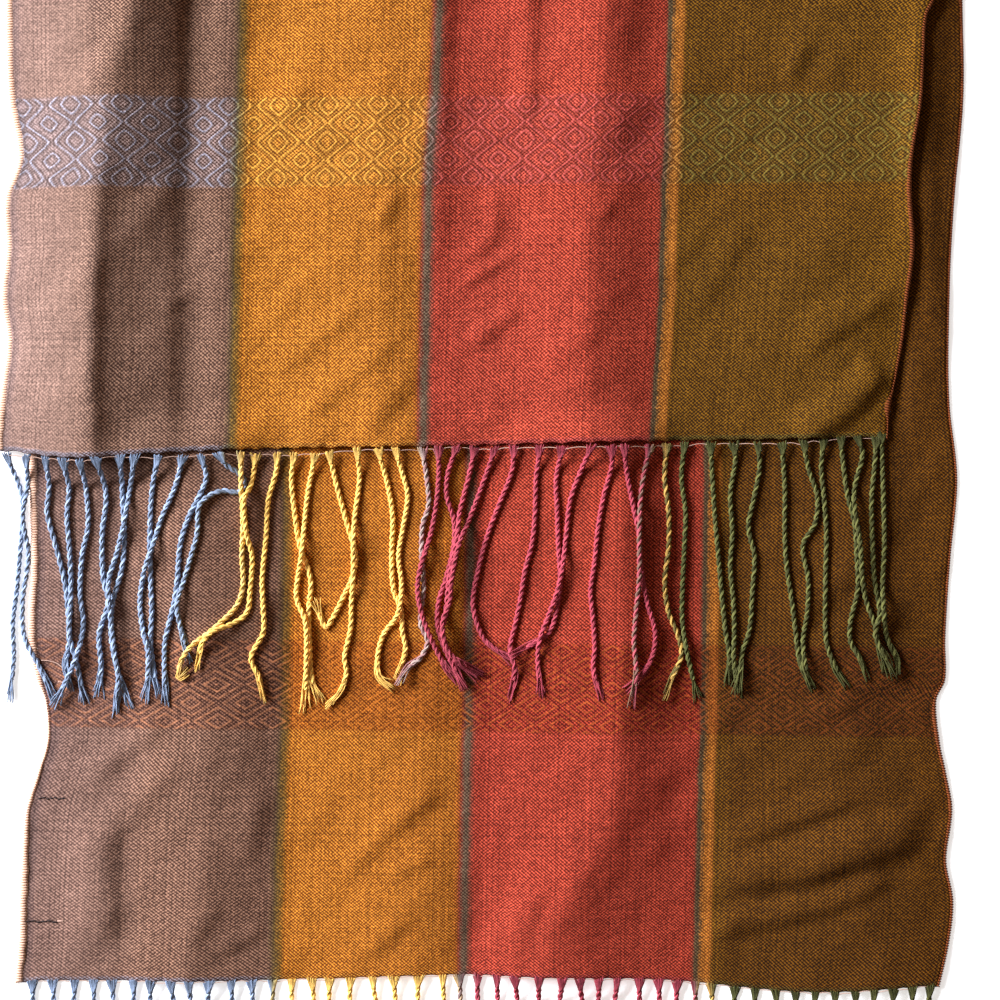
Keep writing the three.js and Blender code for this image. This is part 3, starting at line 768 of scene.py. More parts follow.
# The way of each upper strand over the cloth, from its root in the hem: x, y, x, y and so on.
FRINGE_ROUTES = [
    [-236, -189, -229, -208, -228.5, -219, -230, -239, -231.5, -256, -233.5, -272.5,
     -233, -289.5, -235, -310.5],
    [-225.5, -190, -226, -205.5, -228, -219, -225.5, -239, -228.5, -261.5, -227.5, -279.5,
     -220, -294, -212, -310.5],
    [-215.5, -191, -215, -205.5, -216, -217, -212, -232.5, -207.5, -250.5, -205.5, -267,
     -205, -281.5, -206.5, -291.5, -204.5, -305],
    [-206.5, -192, -205, -205.5, -206, -219, -204.5, -239, -204, -261.5, -204.5, -278,
     -201.5, -291, -197, -313],
    [-198, -192, -196.5, -205.5, -195.5, -223.5, -198.5, -239, -199.5, -259, -198, -272.5,
     -201.5, -290.5, -212.5, -314],
    [-190, -191, -186.5, -209, -188.5, -228, -188, -250.5, -185.5, -261.5, -190, -278,
     -189, -295, -191, -308.5],
    [-178.5, -190, -178.5, -209, -177.5, -228, -178.5, -244.5, -183, -261.5, -184, -278,
     -181, -295, -174, -315],
    [-171, -190, -174, -202, -177.5, -223.5, -181, -237, -185, -250.5, -184, -267, -182, -287,
     -180, -300.5, -182, -318.5],
    [-159.5, -190.5, -163, -203.5, -164.5, -228, -164, -250.5, -163.5, -267, -164, -284,
     -160, -308.5],
    [-147.5, -190, -152, -205.5, -158.5, -220, -163, -234.5, -167.5, -248, -169.5, -261.5,
     -168, -276, -165, -287, -166.5, -311.5],
    [-138.5, -189.5, -136, -200, -140.5, -211, -145, -220, -149, -233.5, -150.5, -250.5,
     -152, -261.5, -155, -273.5, -157, -283.5, -156.5, -314],
    [-130, -189, -125, -194.5, -119.5, -198, -117, -202.5, -119.5, -207, -128.5, -206.5,
     -136, -210, -139.5, -214.5, -140.5, -228, -143.5, -239, -147.5, -252.5, -150.5, -263.5,
     -148.5, -276, -144.5, -292.5],
    [-119, -188.5, -118.5, -205.5, -118, -223.5, -118.5, -239, -118, -253.5, -121, -263.5,
     -128.5, -271.5, -136, -278, -142, -282.5, -147.5, -289.5, -150, -299.5, -145, -295],
    [-111.5, -189, -114, -203.5, -117, -211, -116, -228, -113.5, -239, -114.5, -256, -116, -267,
     -123, -272.5, -132, -276, -137.5, -281.5, -139.5, -289.5, -141, -296.5],
    [-101, -189, -101.5, -196.5, -105.5, -211, -106.5, -228, -108.5, -250.5, -108, -263.5,
     -108, -277, -114, -289.5, -110, -299.5, -108, -311.5],
    [-92.5, -189, -94, -200, -92.5, -217, -90, -233.5, -84.5, -250.5, -85.5, -267, -85, -283.5,
     -84, -298.5, -79.5, -311.5],
    [-82, -189, -85.5, -205.5, -87.5, -222.5, -89, -239, -91, -250.5, -91.5, -260.5, -87, -271.5,
     -86.5, -291, -87.5, -316],
    [-75, -188, -71.5, -203.5, -66.5, -222, -62, -239, -64, -250.5, -68, -259, -73, -269,
     -77, -274.5, -80.5, -267, -83.5, -259.5],
    [-61, -186.5, -60, -200, -62.5, -221, -63, -233.5, -63, -248, -64, -261.5, -64.5, -275,
     -67.5, -289.5, -66.5, -297, -69.5, -306, -76, -314],
    [-50.5, -186.5, -46, -203.5, -43.5, -219, -44, -239, -43, -256, -39.5, -265, -38.5, -277,
     -37, -285, -39.5, -295, -41, -301.5],
    [-42, -186.5, -38.5, -198, -36, -209, -38.5, -226, -40.5, -239, -39, -253.5, -41, -268,
     -48, -278, -51, -289.5, -50, -299.5, -43, -305],
    [-28.5, -186.5, -26.5, -200, -25.5, -213.5, -28.5, -223.5, -29, -239, -28, -253.5,
     -29.5, -272.5, -26, -281.5, -29.5, -289.5, -36, -295, -40.5, -302],
    [-20.5, -186, -20.5, -198, -21.5, -211, -24.5, -228, -29.5, -244.5, -31, -256, -28.5, -269,
     -24, -280.5, -18.5, -291.5, -8.5, -305],
    [-11.5, -185, -16, -198, -16.5, -209, -13, -221, -13, -233.5, -17, -250.5, -20.5, -261.5,
     -21, -274, -17, -286, -7, -305],
    [-2.5, -186, -6, -201, -10, -217, -11.5, -230, -15, -248, -17, -267, -18.5, -278,
     -13, -289.5, 0.5, -300.5],
    [7.5, -186, 0.5, -205.5, -5, -220, -10.5, -233.5, -14, -250.5, -15, -261.5, -18.5, -272.5,
     -15, -287, 3, -298.5],
    [17, -185.5, 16, -196.5, 9.5, -213.5, 4, -228, -0.5, -244.5, -3.5, -261.5, -1.5, -272.5,
     3, -281.5, 10.5, -287, 17.5, -291.5],
    [30, -185.5, 28, -200, 27.5, -217, 26, -232.5, 22.5, -246, 20, -261.5, 17.5, -273.5,
     15, -286, 17.5, -295, 15, -310.5],
    [41, -185.5, 38, -200, 38.5, -217, 39, -233.5, 40, -250.5, 38.5, -263.5, 35, -276,
     26.5, -282.5, 15, -288],
    [55.5, -185, 51, -194.5, 45, -211, 43, -228, 41, -244.5, 38.5, -256, 34, -269, 29.5, -281.5,
     29, -295, 31, -309.5],
    [65, -185.5, 65.5, -193.5, 61.5, -209, 58.5, -226, 57, -241.5, 55, -256, 56, -268, 57, -284,
     56.5, -295, 60.5, -309.5],
    [71.5, -185, 73, -198, 76, -213.5, 79, -228, 80, -244.5, 83, -261.5, 87, -276, 86, -288,
     81, -297, 73, -305],
    [84.5, -185, 81.5, -198, 79.5, -213.5, 79, -228, 79, -250.5, 77.5, -267, 76.5, -281.5,
     77.5, -295, 75.5, -313],
    [93, -184.5, 92, -200, 94, -217, 94, -233.5, 92, -252.5, 94, -267, 98.5, -278, 100.5, -288,
     96, -299.5, 91.5, -309.5],
    [102, -184, 100.5, -200, 102.5, -217, 102, -233.5, 101, -256, 101, -272.5, 103, -286,
     105.5, -297, 108.5, -310.5],
    [115, -183.5, 116, -200, 117.5, -222.5, 119.5, -244.5, 121, -261.5, 122.5, -276,
     124.5, -289.5, 123, -303],
    [126.5, -183.5, 127.5, -191, 125, -208, 126, -228, 125, -244.5, 126.5, -261.5, 127, -278,
     126.5, -289.5, 129.5, -309.5],
    [138.5, -183.5, 139.5, -194.5, 136.5, -211, 134, -224.5, 137, -239, 136, -256, 134.5, -276,
     131, -287, 129.5, -297, 127.5, -307],
    [150.5, -183.5, 152, -205.5, 152, -228, 153, -244.5, 155.5, -261.5, 157.5, -278, 159, -289.5,
     162, -297, 165.5, -305],
    [161, -183, 164, -196.5, 168, -209, 167, -222.5, 161, -233.5, 163.5, -250.5, 163, -267,
     161, -281.5, 162, -294, 165, -305],
    [171, -182, 170, -194.5, 171.5, -211, 172.5, -228, 172, -250.5, 172, -272.5, 173, -284,
     177.5, -295, 183, -305],
    [179.5, -180.5, 181, -194.5, 183, -209, 186.5, -222.5, 187.5, -239, 188, -256, 184.5, -271.5,
     184.5, -281.5, 189, -289.5, 193, -300.5],
    [187.5, -180, 190.5, -188, 187, -202.5, 186, -213.5, 189, -233.5, 190, -250.5, 193, -263.5,
     196.5, -272.5, 199, -286, 203.5, -298.5],
    [197.5, -181, 196.5, -194.5, 195, -211, 195.5, -233.5, 196.5, -250.5, 199, -267, 196.5, -278,
     203.5, -292.5, 206.5, -299.5],
    [200, -178, 200.5, -194.5, 201, -211, 201.5, -233.5, 200.5, -256, 201, -270.5, 203.5, -281.5,
     208, -290.5, 208.5, -298.5],
]

upper_root_shares = share_of_width(UPPER_SECTIONS[0], [route[0] for route in FRINGE_ROUTES])
fraction, weft_y, upper_x, upper_y = laid_grid(
    UPPER_SECTIONS, UPPER_HEM, UPPER_HEM_Y, UPPER_ROWS, upper_root_shares
)
under_z = upper_under(fraction, upper_x, upper_y)
upper_top = under_z + WALL - hem_thinning(UPPER_HEM_Y, weft_y)
tilt = UPPER_TILT * fraction * soft_step((weft_y - UPPER_HEM_Y) / HEM_FADE)
upper_v = (weft_y - UPPER_HEM_Y - tilt) / LENGTH

angle = np.linspace(np.pi / 2, -np.pi / 2, TURN_ROWS + 1)[1:, None]
share = fraction[:1]
turn_x = np.broadcast_to(upper_x[-1:], (TURN_ROWS, COLUMNS + 1))
radius = turn_radius(share)


def on_turn(r):
    """Half a ring in the YZ plane at each place across the scarf."""
    y = FOLD_Y + r * np.cos(angle)
    z = WALL / 2 + radius + r * np.sin(angle)
    return np.stack([turn_x, y, z], -1)


turned = (np.pi / 2 - angle) * radius
turn_v = upper_v[-1:] + (turned + UPPER_TILT * share * turned / turned.max()) / LENGTH
upper_face = np.stack([upper_x, upper_y, upper_top], -1)
under_face = np.stack([upper_x, upper_y, under_z + 0.1], -1)
turn_u = np.broadcast_to(share, turn_x.shape)
upper_cloth = cloth_shell(
    "cloth_upper_stretch",
    np.concatenate([upper_face, on_turn(radius + WALL / 2)]),
    np.concatenate([under_face, on_turn(radius - WALL / 2 + 0.1)]),
    np.stack([np.concatenate([fraction, turn_u]), np.concatenate([upper_v, turn_v])], -1),
    1,
    COTTON,
)
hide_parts("cloth_upper", "cloth_fold")


# ---- Overcast edges ----------------------------------------------------------------------
# Both long edges are overcast by machine in orange thread: close loops round the raw edge, more
# than three millimetres deep, that show as short bars on either face.

STITCH_PITCH = 1.3
STITCH_THREAD = 0.68
STITCH_CORNERS = 9


def tubes(name, paths, radii, material, uv_map="thread", sides=5, guide=(0, 0, 1), **numbers):
    """Carries a ring of corners along every path at once. The ring's first axis is square to
    the path and to the guide. numbers are named values, one to a path."""
    count, steps, _ = paths.shape
    tangent = np.gradient(paths, axis=1)
    tangent /= np.linalg.norm(tangent, axis=2, keepdims=True)
    aside = np.cross(tangent, np.broadcast_to(guide, tangent.shape))
    aside /= np.linalg.norm(aside, axis=2, keepdims=True)
    above = np.cross(aside, tangent)
    turn = 2 * np.pi * np.arange(sides) / sides
    ring = np.cos(turn)[:, None] * aside[:, :, None] + np.sin(turn)[:, None] * above[:, :, None]
    points = paths[:, :, None] + radii[:, :, None, None] * ring
    number = np.arange(count * steps * sides).reshape(count, steps, sides)
    after = np.roll(number, -1, 2)
    walls = [number[:, :-1], number[:, 1:], after[:, 1:], after[:, :-1]]
    faces = [
        np.stack(walls, -1).reshape(-1, 4),
        number[:, 0].reshape(-1, sides),
        number[:, -1, ::-1].reshape(-1, sides),
    ]
    gaps = np.linalg.norm(np.diff(paths, axis=1), axis=2)
    travelled = np.concatenate([np.zeros((count, 1)), np.cumsum(gaps, 1)], 1)
    near = np.broadcast_to(travelled[:, :-1, None], walls[0].shape)
    far = np.broadcast_to(travelled[:, 1:, None], walls[0].shape)
    here = np.broadcast_to(np.arange(sides) / sides, walls[0].shape)
    there = here + 1 / sides
    wall_uv = np.stack([
        np.stack([near, far, far, near], -1), np.stack([here, here, there, there], -1)
    ], -1).reshape(-1, 2)
    ends = np.repeat(np.stack([travelled[:, [0, -1]], np.zeros((count, 2))], -1), sides, 1)
    end_uv = ends.reshape(count, 2, sides, 2).transpose(1, 0, 2, 3).reshape(-1, 2)
    spread = {label: np.repeat(values, steps * sides) for label, values in numbers.items()}
    uvs = np.concatenate([wall_uv, end_uv])
    return new_piece(name, points.reshape(-1, 3), faces, uv_map, uvs, spread, material)


def sewing_thread(name, colour, dark):
    """Soft cotton thread, a little uneven from stitch to stitch."""

    def paint(start):
        uv = start.node("ShaderNodeUVMap", {}, uv_map="thread")
        stripes = uv.stretched((0.35, 3.0, 1.0)).noise(1.0, 2.0)
        return {"Base Color": (stripes * 0.5 + 0.5).mixed(linear(*dark), linear(*colour))}

    return painted(name, 0.85, 0.25, paint)


ORANGE_THREAD = sewing_thread("orange_thread", (252, 212, 186), (228, 180, 150))
# The right edges' thread is the same orange thread painted darker: painted shade, where the cloth
# slopes away from the window.
SHADED_ORANGE_THREAD = sewing_thread("shaded_orange_thread", (146, 72, 28), (90, 42, 14))


def overcast(name, edge, inward, floor_z, depth, thread):
    """A helix that follows the edge: each turn reaches in over the cloth, passes a little
    outside its edge and returns under it. depth is a table of y and how deep it reaches,
    less where the edge has rolled under."""
    gaps = np.linalg.norm(np.diff(edge, axis=0), axis=1)
    travelled = np.concatenate([[0], np.cumsum(gaps)])
    turns = int(travelled[-1] / STITCH_PITCH)
    at = np.linspace(0, travelled[-1], turns * STITCH_CORNERS + 1)
    middle = np.stack([np.interp(at, travelled, edge[:, i]) for i in range(3)], 1)
    turn = 2 * np.pi * np.arange(len(at)) / STITCH_CORNERS
    uneven = 1 + 0.12 * soft_noise(at / STITCH_PITCH, at * 0, 5)
    reach = through(depth[0], depth[1], middle[:, 1]) / 2 * uneven
    x = middle[:, 0] + inward * (reach - 0.25 - (reach + 0.1) * np.cos(turn))
    y = middle[:, 1] + 0.45 * np.sin(turn * 0.5) ** 2
    z = np.maximum(middle[:, 2] + 1.0 * np.sin(turn) * -inward, floor_z)
    path = np.stack([x, y, z], 1)[None]
    radii = np.minimum(STITCH_THREAD, 0.25 + reach * 0.3)[None]
    return tubes(name, path, radii, thread, guide=(0, 1, 0))


FULL = ([-500, 600], [STITCH_DEPTH, STITCH_DEPTH])
LOWER_RIGHT = ([-500, -340, -320, -300, 30, 60, 600], [0.9, 1.4, 1.8, 0.8, 1.0, 2.6, 3.3])
UPPER_RIGHT = (
    [-190, -172, -164, -158, -140, -60, -20, 60, 600],
    [0.5, 0.5, 2.4, 0.5, 0.9, 1.6, 0.8, 1.2, 3.3],
)
LOWER_LEFT = ([-500, -400, -385, -310, -295, 600], [3.3, 3.3, 2.6, 1.0, 3.0, 3.3])
overcasts = []
for label, column, inward, lower_depth, upper_depth, thread in (
    ("left", 0, 1, LOWER_LEFT, FULL, ORANGE_THREAD),
    ("right", -1, -1, LOWER_RIGHT, UPPER_RIGHT, SHADED_ORANGE_THREAD),
):
    lower_edge = np.stack([lower_x, lower_y, (top_z + bottom_z) / 2], -1)[:, column]
    upper_edge = np.stack([upper_x, upper_y, under_z + WALL / 2 + 0.05], -1)[:, column]
    overcasts += [
        overcast("overcast_lower_" + label, lower_edge, inward, STITCH_THREAD, lower_depth, thread),
        overcast("overcast_upper_" + label, upper_edge, inward, 0, upper_depth, thread),
    ]


# ---- The upper fringe --------------------------------------------------------------------
# The warp ends run on past the hem. Bundles of eight to ten of them are twisted into two
# plies and the plies into a strand, which opens again into loose yarns at its tip.

STRAND_LENGTH = 125
STRAND_POINTS = 104
DROP_LENGTH = 14
STRAND_PLY = 0.8
PLY_ORBIT = 0.68
PLY_FLATNESS = 0.55
TWIST_LENGTH = 7.5
CROSSING_GAP = 2.7
TIP_LENGTH = 14
TIP_YARNS = 7
TIP_POINTS = 8
FAN_LENGTH = 5.2
FAN_YARNS = 9
FAN_POINTS = 7
YARN = 0.38

FRINGE_STRIPES = [
    (0, (132, 146, 170)), (112, (132, 146, 170)), (116, (170, 160, 116)), (120, (214, 176, 104)),
    (124, (240, 192, 100)), (212, (240, 190, 98)), (217, (156, 138, 128)), (222, (148, 110, 108)),
    (226, (162, 66, 78)), (340, (160, 62, 74)), (343, (140, 88, 88)), (346, (130, 108, 84)),
    (349, (180, 138, 68)), (353, (128, 110, 60)), (357, (78, 78, 40)), (472, (76, 75, 37)),
]


def fringe_yarn(start):
    """Cotton yarn in the warp colour of its place, with the fine twist of its fibres. Its
    grooves are raised as bumps and painted darker: painted shade.
    """
    place, tone = start.attribute("across"), start.attribute("tone")
    along, around = start.uv_pair("twist")
    groove_and_shade = (around * 4 + along / 6).wave() * 0.5 + 0.5
    patches = along.vector(around * 2, place * 40).noise(0.35, 2.0)
    # The grooves between the yarns are painted darker: painted shade.
    value = tone * (0.86 + groove_and_shade * 0.44) * (1 + patches * 0.26)
    colour = value.tinted(place.striped(FRINGE_STRIPES))
    return {"Base Color": colour, "Normal": groove_and_shade.raised(0.6)}


FRINGE_YARN = painted("fringe_yarn", 0.9, 0.2, fringe_yarn)


def smooth_route(route, samples):
    """Points evenly spaced along a smooth curve through a route of x, y, x, y and so on."""
    knots = np.array(route, float).reshape(-1, 2)
    travelled = np.append(0, np.cumsum(np.hypot(*np.diff(knots, axis=0).T)))
    at = np.linspace(0, travelled[-1], samples)
    return np.stack([through(travelled, knots[:, 0], at), through(travelled, knots[:, 1], at)], 1)


def blurred(values, reach):
    """A running mean over 2 reach + 1 values, with the ends held."""
    padded = np.pad(values, reach, mode="edge")
    return np.convolve(padded, np.ones(2 * reach + 1) / (2 * reach + 1), "valid")


def stacked(routes, rest, start_z, gap=CROSSING_GAP):
    """Heights of strands laid down one after another: each lies on the cloth or the table,
    and arches over any that already lie where it crosses."""
    laid = np.zeros((0, 3))
    lines = []
    for route, root_z in zip(routes, start_z):
        height = rest(route[:, 0], route[:, 1])
        if len(laid):
            apart = np.hypot(*(route[:, None] - laid[None, :, :2]).transpose(2, 0, 1))
            over = laid[None, :, 2] + np.sqrt(np.maximum(gap**2 - apart**2, 0))
            height = np.maximum(height, np.where(apart < gap, over, 0).max(1))
        wide = np.max([np.roll(height, k) for k in range(-2, 3)], 0)
        wide[:2], wide[-2:] = height[:2], height[-2:]
        height = np.maximum(blurred(wide, 3), height - 0.6)
        fallen = soft_step(np.linspace(0, 1, len(height)) * STRAND_LENGTH / DROP_LENGTH)
        height = root_z + (height - root_z) * fallen
        line = np.column_stack([route, height])
        lines.append(line)
        laid = np.concatenate([laid, line])
    return np.array(lines)


def strand_frame(lines):
    """The side direction of each line, level and square to it, and straight up."""
    tangent = np.gradient(lines, axis=1)
    tangent /= np.linalg.norm(tangent, axis=2, keepdims=True)
    side = np.cross(tangent, (0, 0, 1.0))
    side /= np.linalg.norm(side, axis=2, keepdims=True)
    return tangent, side, np.cross(side, tangent)


def make_fringe(label, lines, roots, seed):
    """Plies that wind round each line, fans of yarn at the roots and loose yarns at the tips.
    A ply's middle circles the line once in TWIST_LENGTH."""
    random = np.random.default_rng(seed)
    count, steps, _ = lines.shape
    lengths = np.linalg.norm(np.diff(lines, axis=1), axis=2).sum(1)
    tangent, side, up = strand_frame(lines)
    row = np.arange(count)[:, None]

    def on_lines(spot):
        """The points before these steps along the lines, and the places at the steps."""
        base = np.clip(np.floor(spot).astype(int), 0, steps - 2)
        part = (spot - base)[..., None]
        return base, lines[row, base] * (1 - part) + lines[row, base + 1] * part

    def spun(part, paths, radii, yarns, spread, tones, sides=5):
        """Tubes whose warp colours are spread out round each strand's own place."""
        places = np.repeat(roots, yarns) + np.tile(np.linspace(-spread, spread, yarns), count)
        name = f"fringe_{label}_{part}"
        return tubes(name, paths, radii, FRINGE_YARN, "twist", sides, across=places, tone=tones)

    along = np.linspace(0, 1, steps) * lengths[:, None]
    opening = soft_step((along - (lengths[:, None] - TIP_LENGTH)) / TIP_LENGTH)
    start = soft_step(along / FAN_LENGTH)
    twist = TWIST_LENGTH * (1.1 - 0.2 * soft_step(roots[:, None] * 3))
    twist = twist * random.uniform(0.9, 1.1, (count, 1))
    phase = -2 * np.pi * along / twist + random.uniform(0, 6.28, (count, 1))
    phase = phase + 0.5 * np.sin(along / 17 + random.uniform(0, 6.28, (count, 1)))
    tone = 1 + random.uniform(-0.07, 0.07, count)
    shares = [0.62, 0.62, 0.16, 0.26, 0.95, 0.95]
    mixed = 0.5 * through([0, 0.24, 0.27, 0.7, 0.77, 1], shares, roots)
    ply_tones = np.stack([tone * (1 + mixed), tone * (1 - mixed * 0.7)], 1).ravel()
    orbit = PLY_ORBIT * (0.3 + 0.7 * start) * (1 - 0.25 * opening)
    size = STRAND_PLY * (0.4 + 0.6 * start) * (1 - 0.45 * opening)
    turn = np.stack([phase, phase + np.pi], 1)[..., None]
    winding = np.cos(turn) * side[:, None] + PLY_FLATNESS * np.sin(turn) * up[:, None]
    keep = int(steps * 0.93)
    paths = lines[:, None] + orbit[:, None, :, None] * winding
    paths = paths.reshape(2 * count, steps, 3)[:, :keep]
    radii = np.repeat(size, 2, 0)[:, :keep]
    paths[..., 2] = np.maximum(paths[..., 2], radii)
    strands = spun("strands", paths, radii, 2, 0.004, ply_tones, 6)

    # Loose yarns: they leave the strand before its tip and spread sideways as the square of
    # the way they have gone.
    where = np.linspace(0, 1, TIP_POINTS)
    first = ((lengths - TIP_LENGTH) / lengths * (steps - 1)).astype(int) - 2
    spot = first[:, None] + where * (steps - 1 - first)[:, None]
    base, middle = on_lines(spot)
    tip_side, tip_up, tip_along = side[row, base], up[row, base], tangent[row, base]
    lean = np.linspace(-1, 1, TIP_YARNS) + random.uniform(-0.25, 0.25, (count, TIP_YARNS))
    spread = random.uniform(0.3, 1.9, (count, 1)) * lean
    longer = random.uniform(-2.5, 2.0, (count, TIP_YARNS))
    curl = random.uniform(-0.8, 0.8, (count, TIP_YARNS))
    w = where[None, None, :, None]
    tips = (
        middle[:, None]
        + tip_side[:, None] * (lean[..., None, None] * 0.9 + spread[..., None, None] * w**2)
        + tip_side[:, None] * (curl[..., None, None] * np.sin(np.pi * w * 1.5))
        + tip_along[:, None] * (longer[..., None, None] * w**2)
        + tip_up[:, None] * (random.uniform(-0.7, 0.7, (count, TIP_YARNS))[..., None, None])
    )
    lowest = np.maximum(middle[:, None, :, 2] - 1.0, YARN)
    tips[..., 2] = np.maximum(tips[..., 2], lowest)
    tips = tips.reshape(count * TIP_YARNS, TIP_POINTS, 3)
    radii = np.broadcast_to(YARN * (1 - 0.35 * where**3), tips.shape[:2])
    tones = np.repeat(tone, TIP_YARNS) * (1 + random.uniform(-0.12, 0.12, count * TIP_YARNS))
    ends = spun("tips", tips, radii, TIP_YARNS, 0.006, tones)

    # Fans: yarns leave the cloth side by side and draw together into the strand.
    where = np.linspace(0, 1, FAN_POINTS)
    lean = np.linspace(-1, 1, FAN_YARNS)
    _, middle = on_lines((where * (FAN_LENGTH / lengths[:, None])) * (steps - 1))
    w = where[None, None, :, None]
    width = random.uniform(1.0, 2.1, (count, 1, 1, 1)) * (1 - w) ** 1.3 + 0.8
    sideways = np.array([1.0, 0, 0]) * lean[None, :, None, None] * width
    back = np.array([0, 1, 0]) * random.uniform(0.4, 2.2, (count, FAN_YARNS, 1, 1)) * (1 - w) ** 2
    arch = np.sqrt(np.maximum(1 - lean**2, 0))[None, :, None, None]
    lift = np.array([0, 0, 1]) * (0.9 * arch * w + 1.1 * np.sin(np.pi * w) * (1 - w) - 0.05)
    fans = (middle[:, None] + sideways + back + lift).reshape(count * FAN_YARNS, FAN_POINTS, 3)
    fans[..., 2] = np.maximum(fans[..., 2], YARN)
    radii = np.full(fans.shape[:2], YARN * 0.95)
    # The fan yarns are painted darker on average, at 0.78 of the strand's tone: painted shade where
    # they leave the hem.
    tones = np.repeat(tone, FAN_YARNS) * (0.78 + random.uniform(-0.34, 0.34, count * FAN_YARNS))
    fan = spun("roots", fans, radii, FAN_YARNS, 0.009, tones)
    return strands, ends, fan


def on_lower_cloth(x, y):
    """Height of a strand's middle: on the lower stretch, or on the table beside it."""
    edge = through(LOWER_SECTIONS[:, 0], LOWER_SECTIONS[:, 1], y)
    on_cloth = soft_step((x - edge + 4) / 6)
    return lower_top(x, y) * on_cloth + PLY_FLATNESS * PLY_ORBIT + STRAND_PLY - 0.25


upper_routes = np.array([smooth_route(route, STRAND_POINTS) for route in FRINGE_ROUTES])
root_x, root_y = upper_routes[:, 0].T
hem_z = upper_under(upper_root_shares, root_x, root_y) + WALL - 0.7
upper_lines = stacked(upper_routes, on_lower_cloth, hem_z)
upper_fringe = make_fringe("upper", upper_lines, upper_root_shares, 3)
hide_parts("fringe_upper")


# ---- The lower fringe --------------------------------------------------------------------
# The same twisted strands at the long end. They lie on the table, nearly straight.

LOWER_FRINGE_LENGTH = 120


def on_table(x, _):
    return np.full_like(x, PLY_FLATNESS * PLY_ORBIT + STRAND_PLY)


number = np.arange(len(LOWER_ROOTS))[:, None]
t = np.linspace(0, 1, STRAND_POINTS)[None]
start_x = LOWER_ROOTS[:, None]
start_y = LOWER_HEM_Y + through(LOWER_HEM[:, 0], LOWER_HEM[:, 1], lower_root_shares)[:, None]
sway = 3 * np.sin(1.9 * number) * 4 * t * (1 - t)
sway = sway + 4 * np.sin(1.3 * number + 0.7) * t * (2 * t - 1)
ripple = soft_noise(t * 9 + number * 0, number * 3.7 + 0 * t, 23) * 1.6 * soft_step(t * 5)
length = LOWER_FRINGE_LENGTH + 3 * np.sin(2.7 * number + 1)
lower_routes = np.stack([start_x + sway + ripple, start_y - length * t], -1)
hem_z = lower_top(start_x[:, 0], start_y[:, 0]) - WALL / 2
lower_lines = stacked(lower_routes, on_table, hem_z)
lower_fringe = make_fringe("lower", lower_lines, lower_root_shares, 7)
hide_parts("fringe_lower")


# ---- Hem threads, label stitches and a loose end ------------------------------------------
# A fine thread runs along each hem and dips between the strands. Two rows of dark stitches
# hold a label on the face that is not seen, and one pale end of thread lies loose.

PALE_THREAD = sewing_thread("pale_thread", (226, 190, 170), (160, 116, 100))
DARK_THREAD = sewing_thread("dark_thread", (58, 46, 44), (30, 22, 22))


def hem_thread(name, lines):
    """From root to root the thread follows the hem, which draws back between the strands."""
    roots = lines[:, 0]
    at = np.linspace(0, len(roots) - 1, (len(roots) - 1) * 8 + 1)
    x, y, z = (np.interp(at, np.arange(len(roots)), roots[:, i]) for i in range(3))
    y = y - 0.5 + 1.1 * np.abs(np.sin(np.pi * at)) + 0.5 * soft_noise(at * 1.7, at * 0, 9)
    z = np.maximum(z + 0.2, 0.4)
    path = np.stack([x, y, z], 1)[None]
    radii = np.full(path.shape[:2], 0.19)
    return tubes(name, path, radii, PALE_THREAD)


hem_threads = [
    hem_thread("hem_thread_upper", upper_lines),
    hem_thread("hem_thread_lower", lower_lines),
]


def dashes(name, x0, x1, y, count, gap_share, material):
    """Short stitches in a row, each an arch that dips into the cloth at both ends."""
    step = (x1 - x0) / count
    t = np.linspace(0, 1, 7)
    x = x0 + step * (np.arange(count)[:, None] + t * (1 - gap_share))
    line_y = y + 0.35 * np.sin(np.arange(count) * 2.1)[:, None] + 0 * t
    z = lower_top(x, line_y) + 0.25 * np.sin(np.pi * t) - 0.12
    paths = np.stack([x, line_y, z], -1)
    radii = np.full(paths.shape[:2], 0.42)
    return tubes(name, paths, radii, material)


label_stitches = [
    dashes("label_stitches_top", -220.5, -207, -360, 7, 0.3, DARK_THREAD),
    dashes("label_stitches_bottom", -227, -211, -421.5, 6, 0.04, DARK_THREAD),
    dashes("label_stitch_end", -211, -207.5, -421.3, 1, 0.1, PALE_THREAD),
]

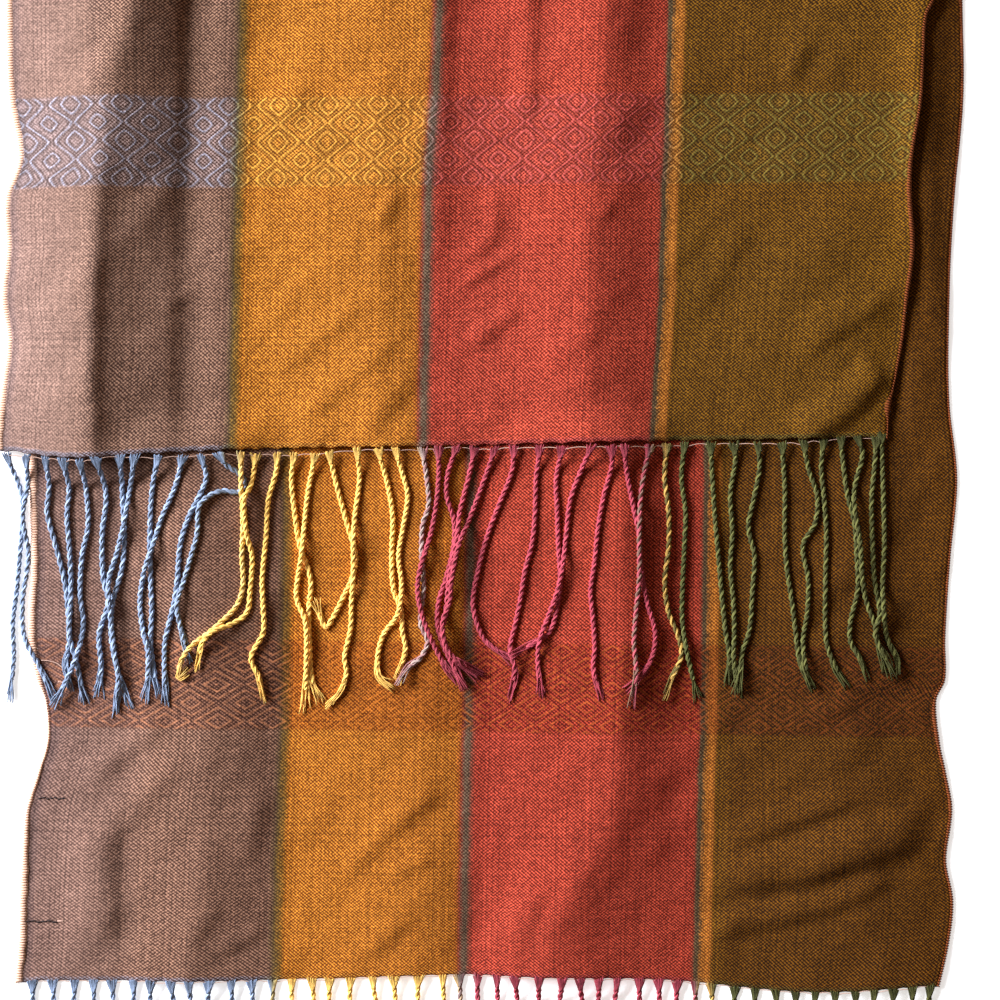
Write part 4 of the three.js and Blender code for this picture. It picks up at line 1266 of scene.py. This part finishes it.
LOOSE_POINTS = 40
loose_route = smooth_route([
    -219, -291, -214.5, -291.5, -210.5, -293, -207.5, -296, -206.5, -299.5, -208, -302,
    -210.5, -301.5,
], LOOSE_POINTS)
loose_z = lower_top(loose_route[:, 0], loose_route[:, 1]) + 0.5
loose_z = loose_z + 0.5 * soft_step(np.linspace(-0.4, 1, LOOSE_POINTS))
loose_path = np.column_stack([loose_route, loose_z])[None]
loose_radii = np.full((1, LOOSE_POINTS), 0.3)
loose_thread = tubes("loose_thread", loose_path, loose_radii, PALE_THREAD)


# ---- Table, light and camera --------------------------------------------------------------
# The scarf lies on a plain white table. Soft window light comes from the left, with a weak
# fill from all round, and the camera looks straight down.

table_mesh = bpy.data.meshes.new("floor")
table_mesh.from_pydata([(-4, -4, 0), (4, -4, 0), (4, 4, 0), (-4, 4, 0)], [], [(0, 1, 2, 3)])
table_paint = bpy.data.materials.new("white_table")
table_paint.use_nodes = True
paint = table_paint.node_tree.nodes["Principled BSDF"].inputs
paint["Base Color"].default_value = (0.95, 0.95, 0.95, 1)
paint["Roughness"].default_value = 0.9
paint["Emission Color"].default_value = (1, 1, 1, 1)
paint["Emission Strength"].default_value = 0.6
table_mesh.materials.append(table_paint)
floor = bpy.data.objects.new("floor", table_mesh)
bpy.context.scene.collection.objects.link(floor)

LIGHT_PLACE = (-4.7, 2.1, 2.42)
LIGHT_AIM = (0.0, -0.2, 0.0)
window = bpy.data.lights.new("window", "AREA")
window.shape = "RECTANGLE"
window.color = (0.96, 1.02, 1.12)
window.size = 3.4
window.size_y = 2.8
window.energy = 1140
window_light = bpy.data.objects.new("window", window)
window_light.location = LIGHT_PLACE
direction = np.array(LIGHT_AIM) - np.array(LIGHT_PLACE)
window_light.rotation_mode = "QUATERNION"
window_light.rotation_quaternion = Vector(direction).to_track_quat("-Z", "Y")
bpy.context.scene.collection.objects.link(window_light)

world = bpy.data.worlds.new("room")
bpy.context.scene.world = world
world.use_nodes = True
fill = world.node_tree.nodes["Background"].inputs
fill["Color"].default_value = (1, 0.78, 0.62, 1)
fill["Strength"].default_value = 0.19

CAMERA_HEIGHT = 1.2
FRAME_SIDE = 0.5
camera = bpy.data.cameras.new("camera")
camera.sensor_width = 36
camera.lens = 36 * CAMERA_HEIGHT / FRAME_SIDE
camera_object = bpy.data.objects.new("camera", camera)
camera_object.location = (0.010, -0.211, CAMERA_HEIGHT)
bpy.context.scene.collection.objects.link(camera_object)
bpy.context.scene.camera = camera_object
bpy.context.scene.view_settings.view_transform = "Standard"
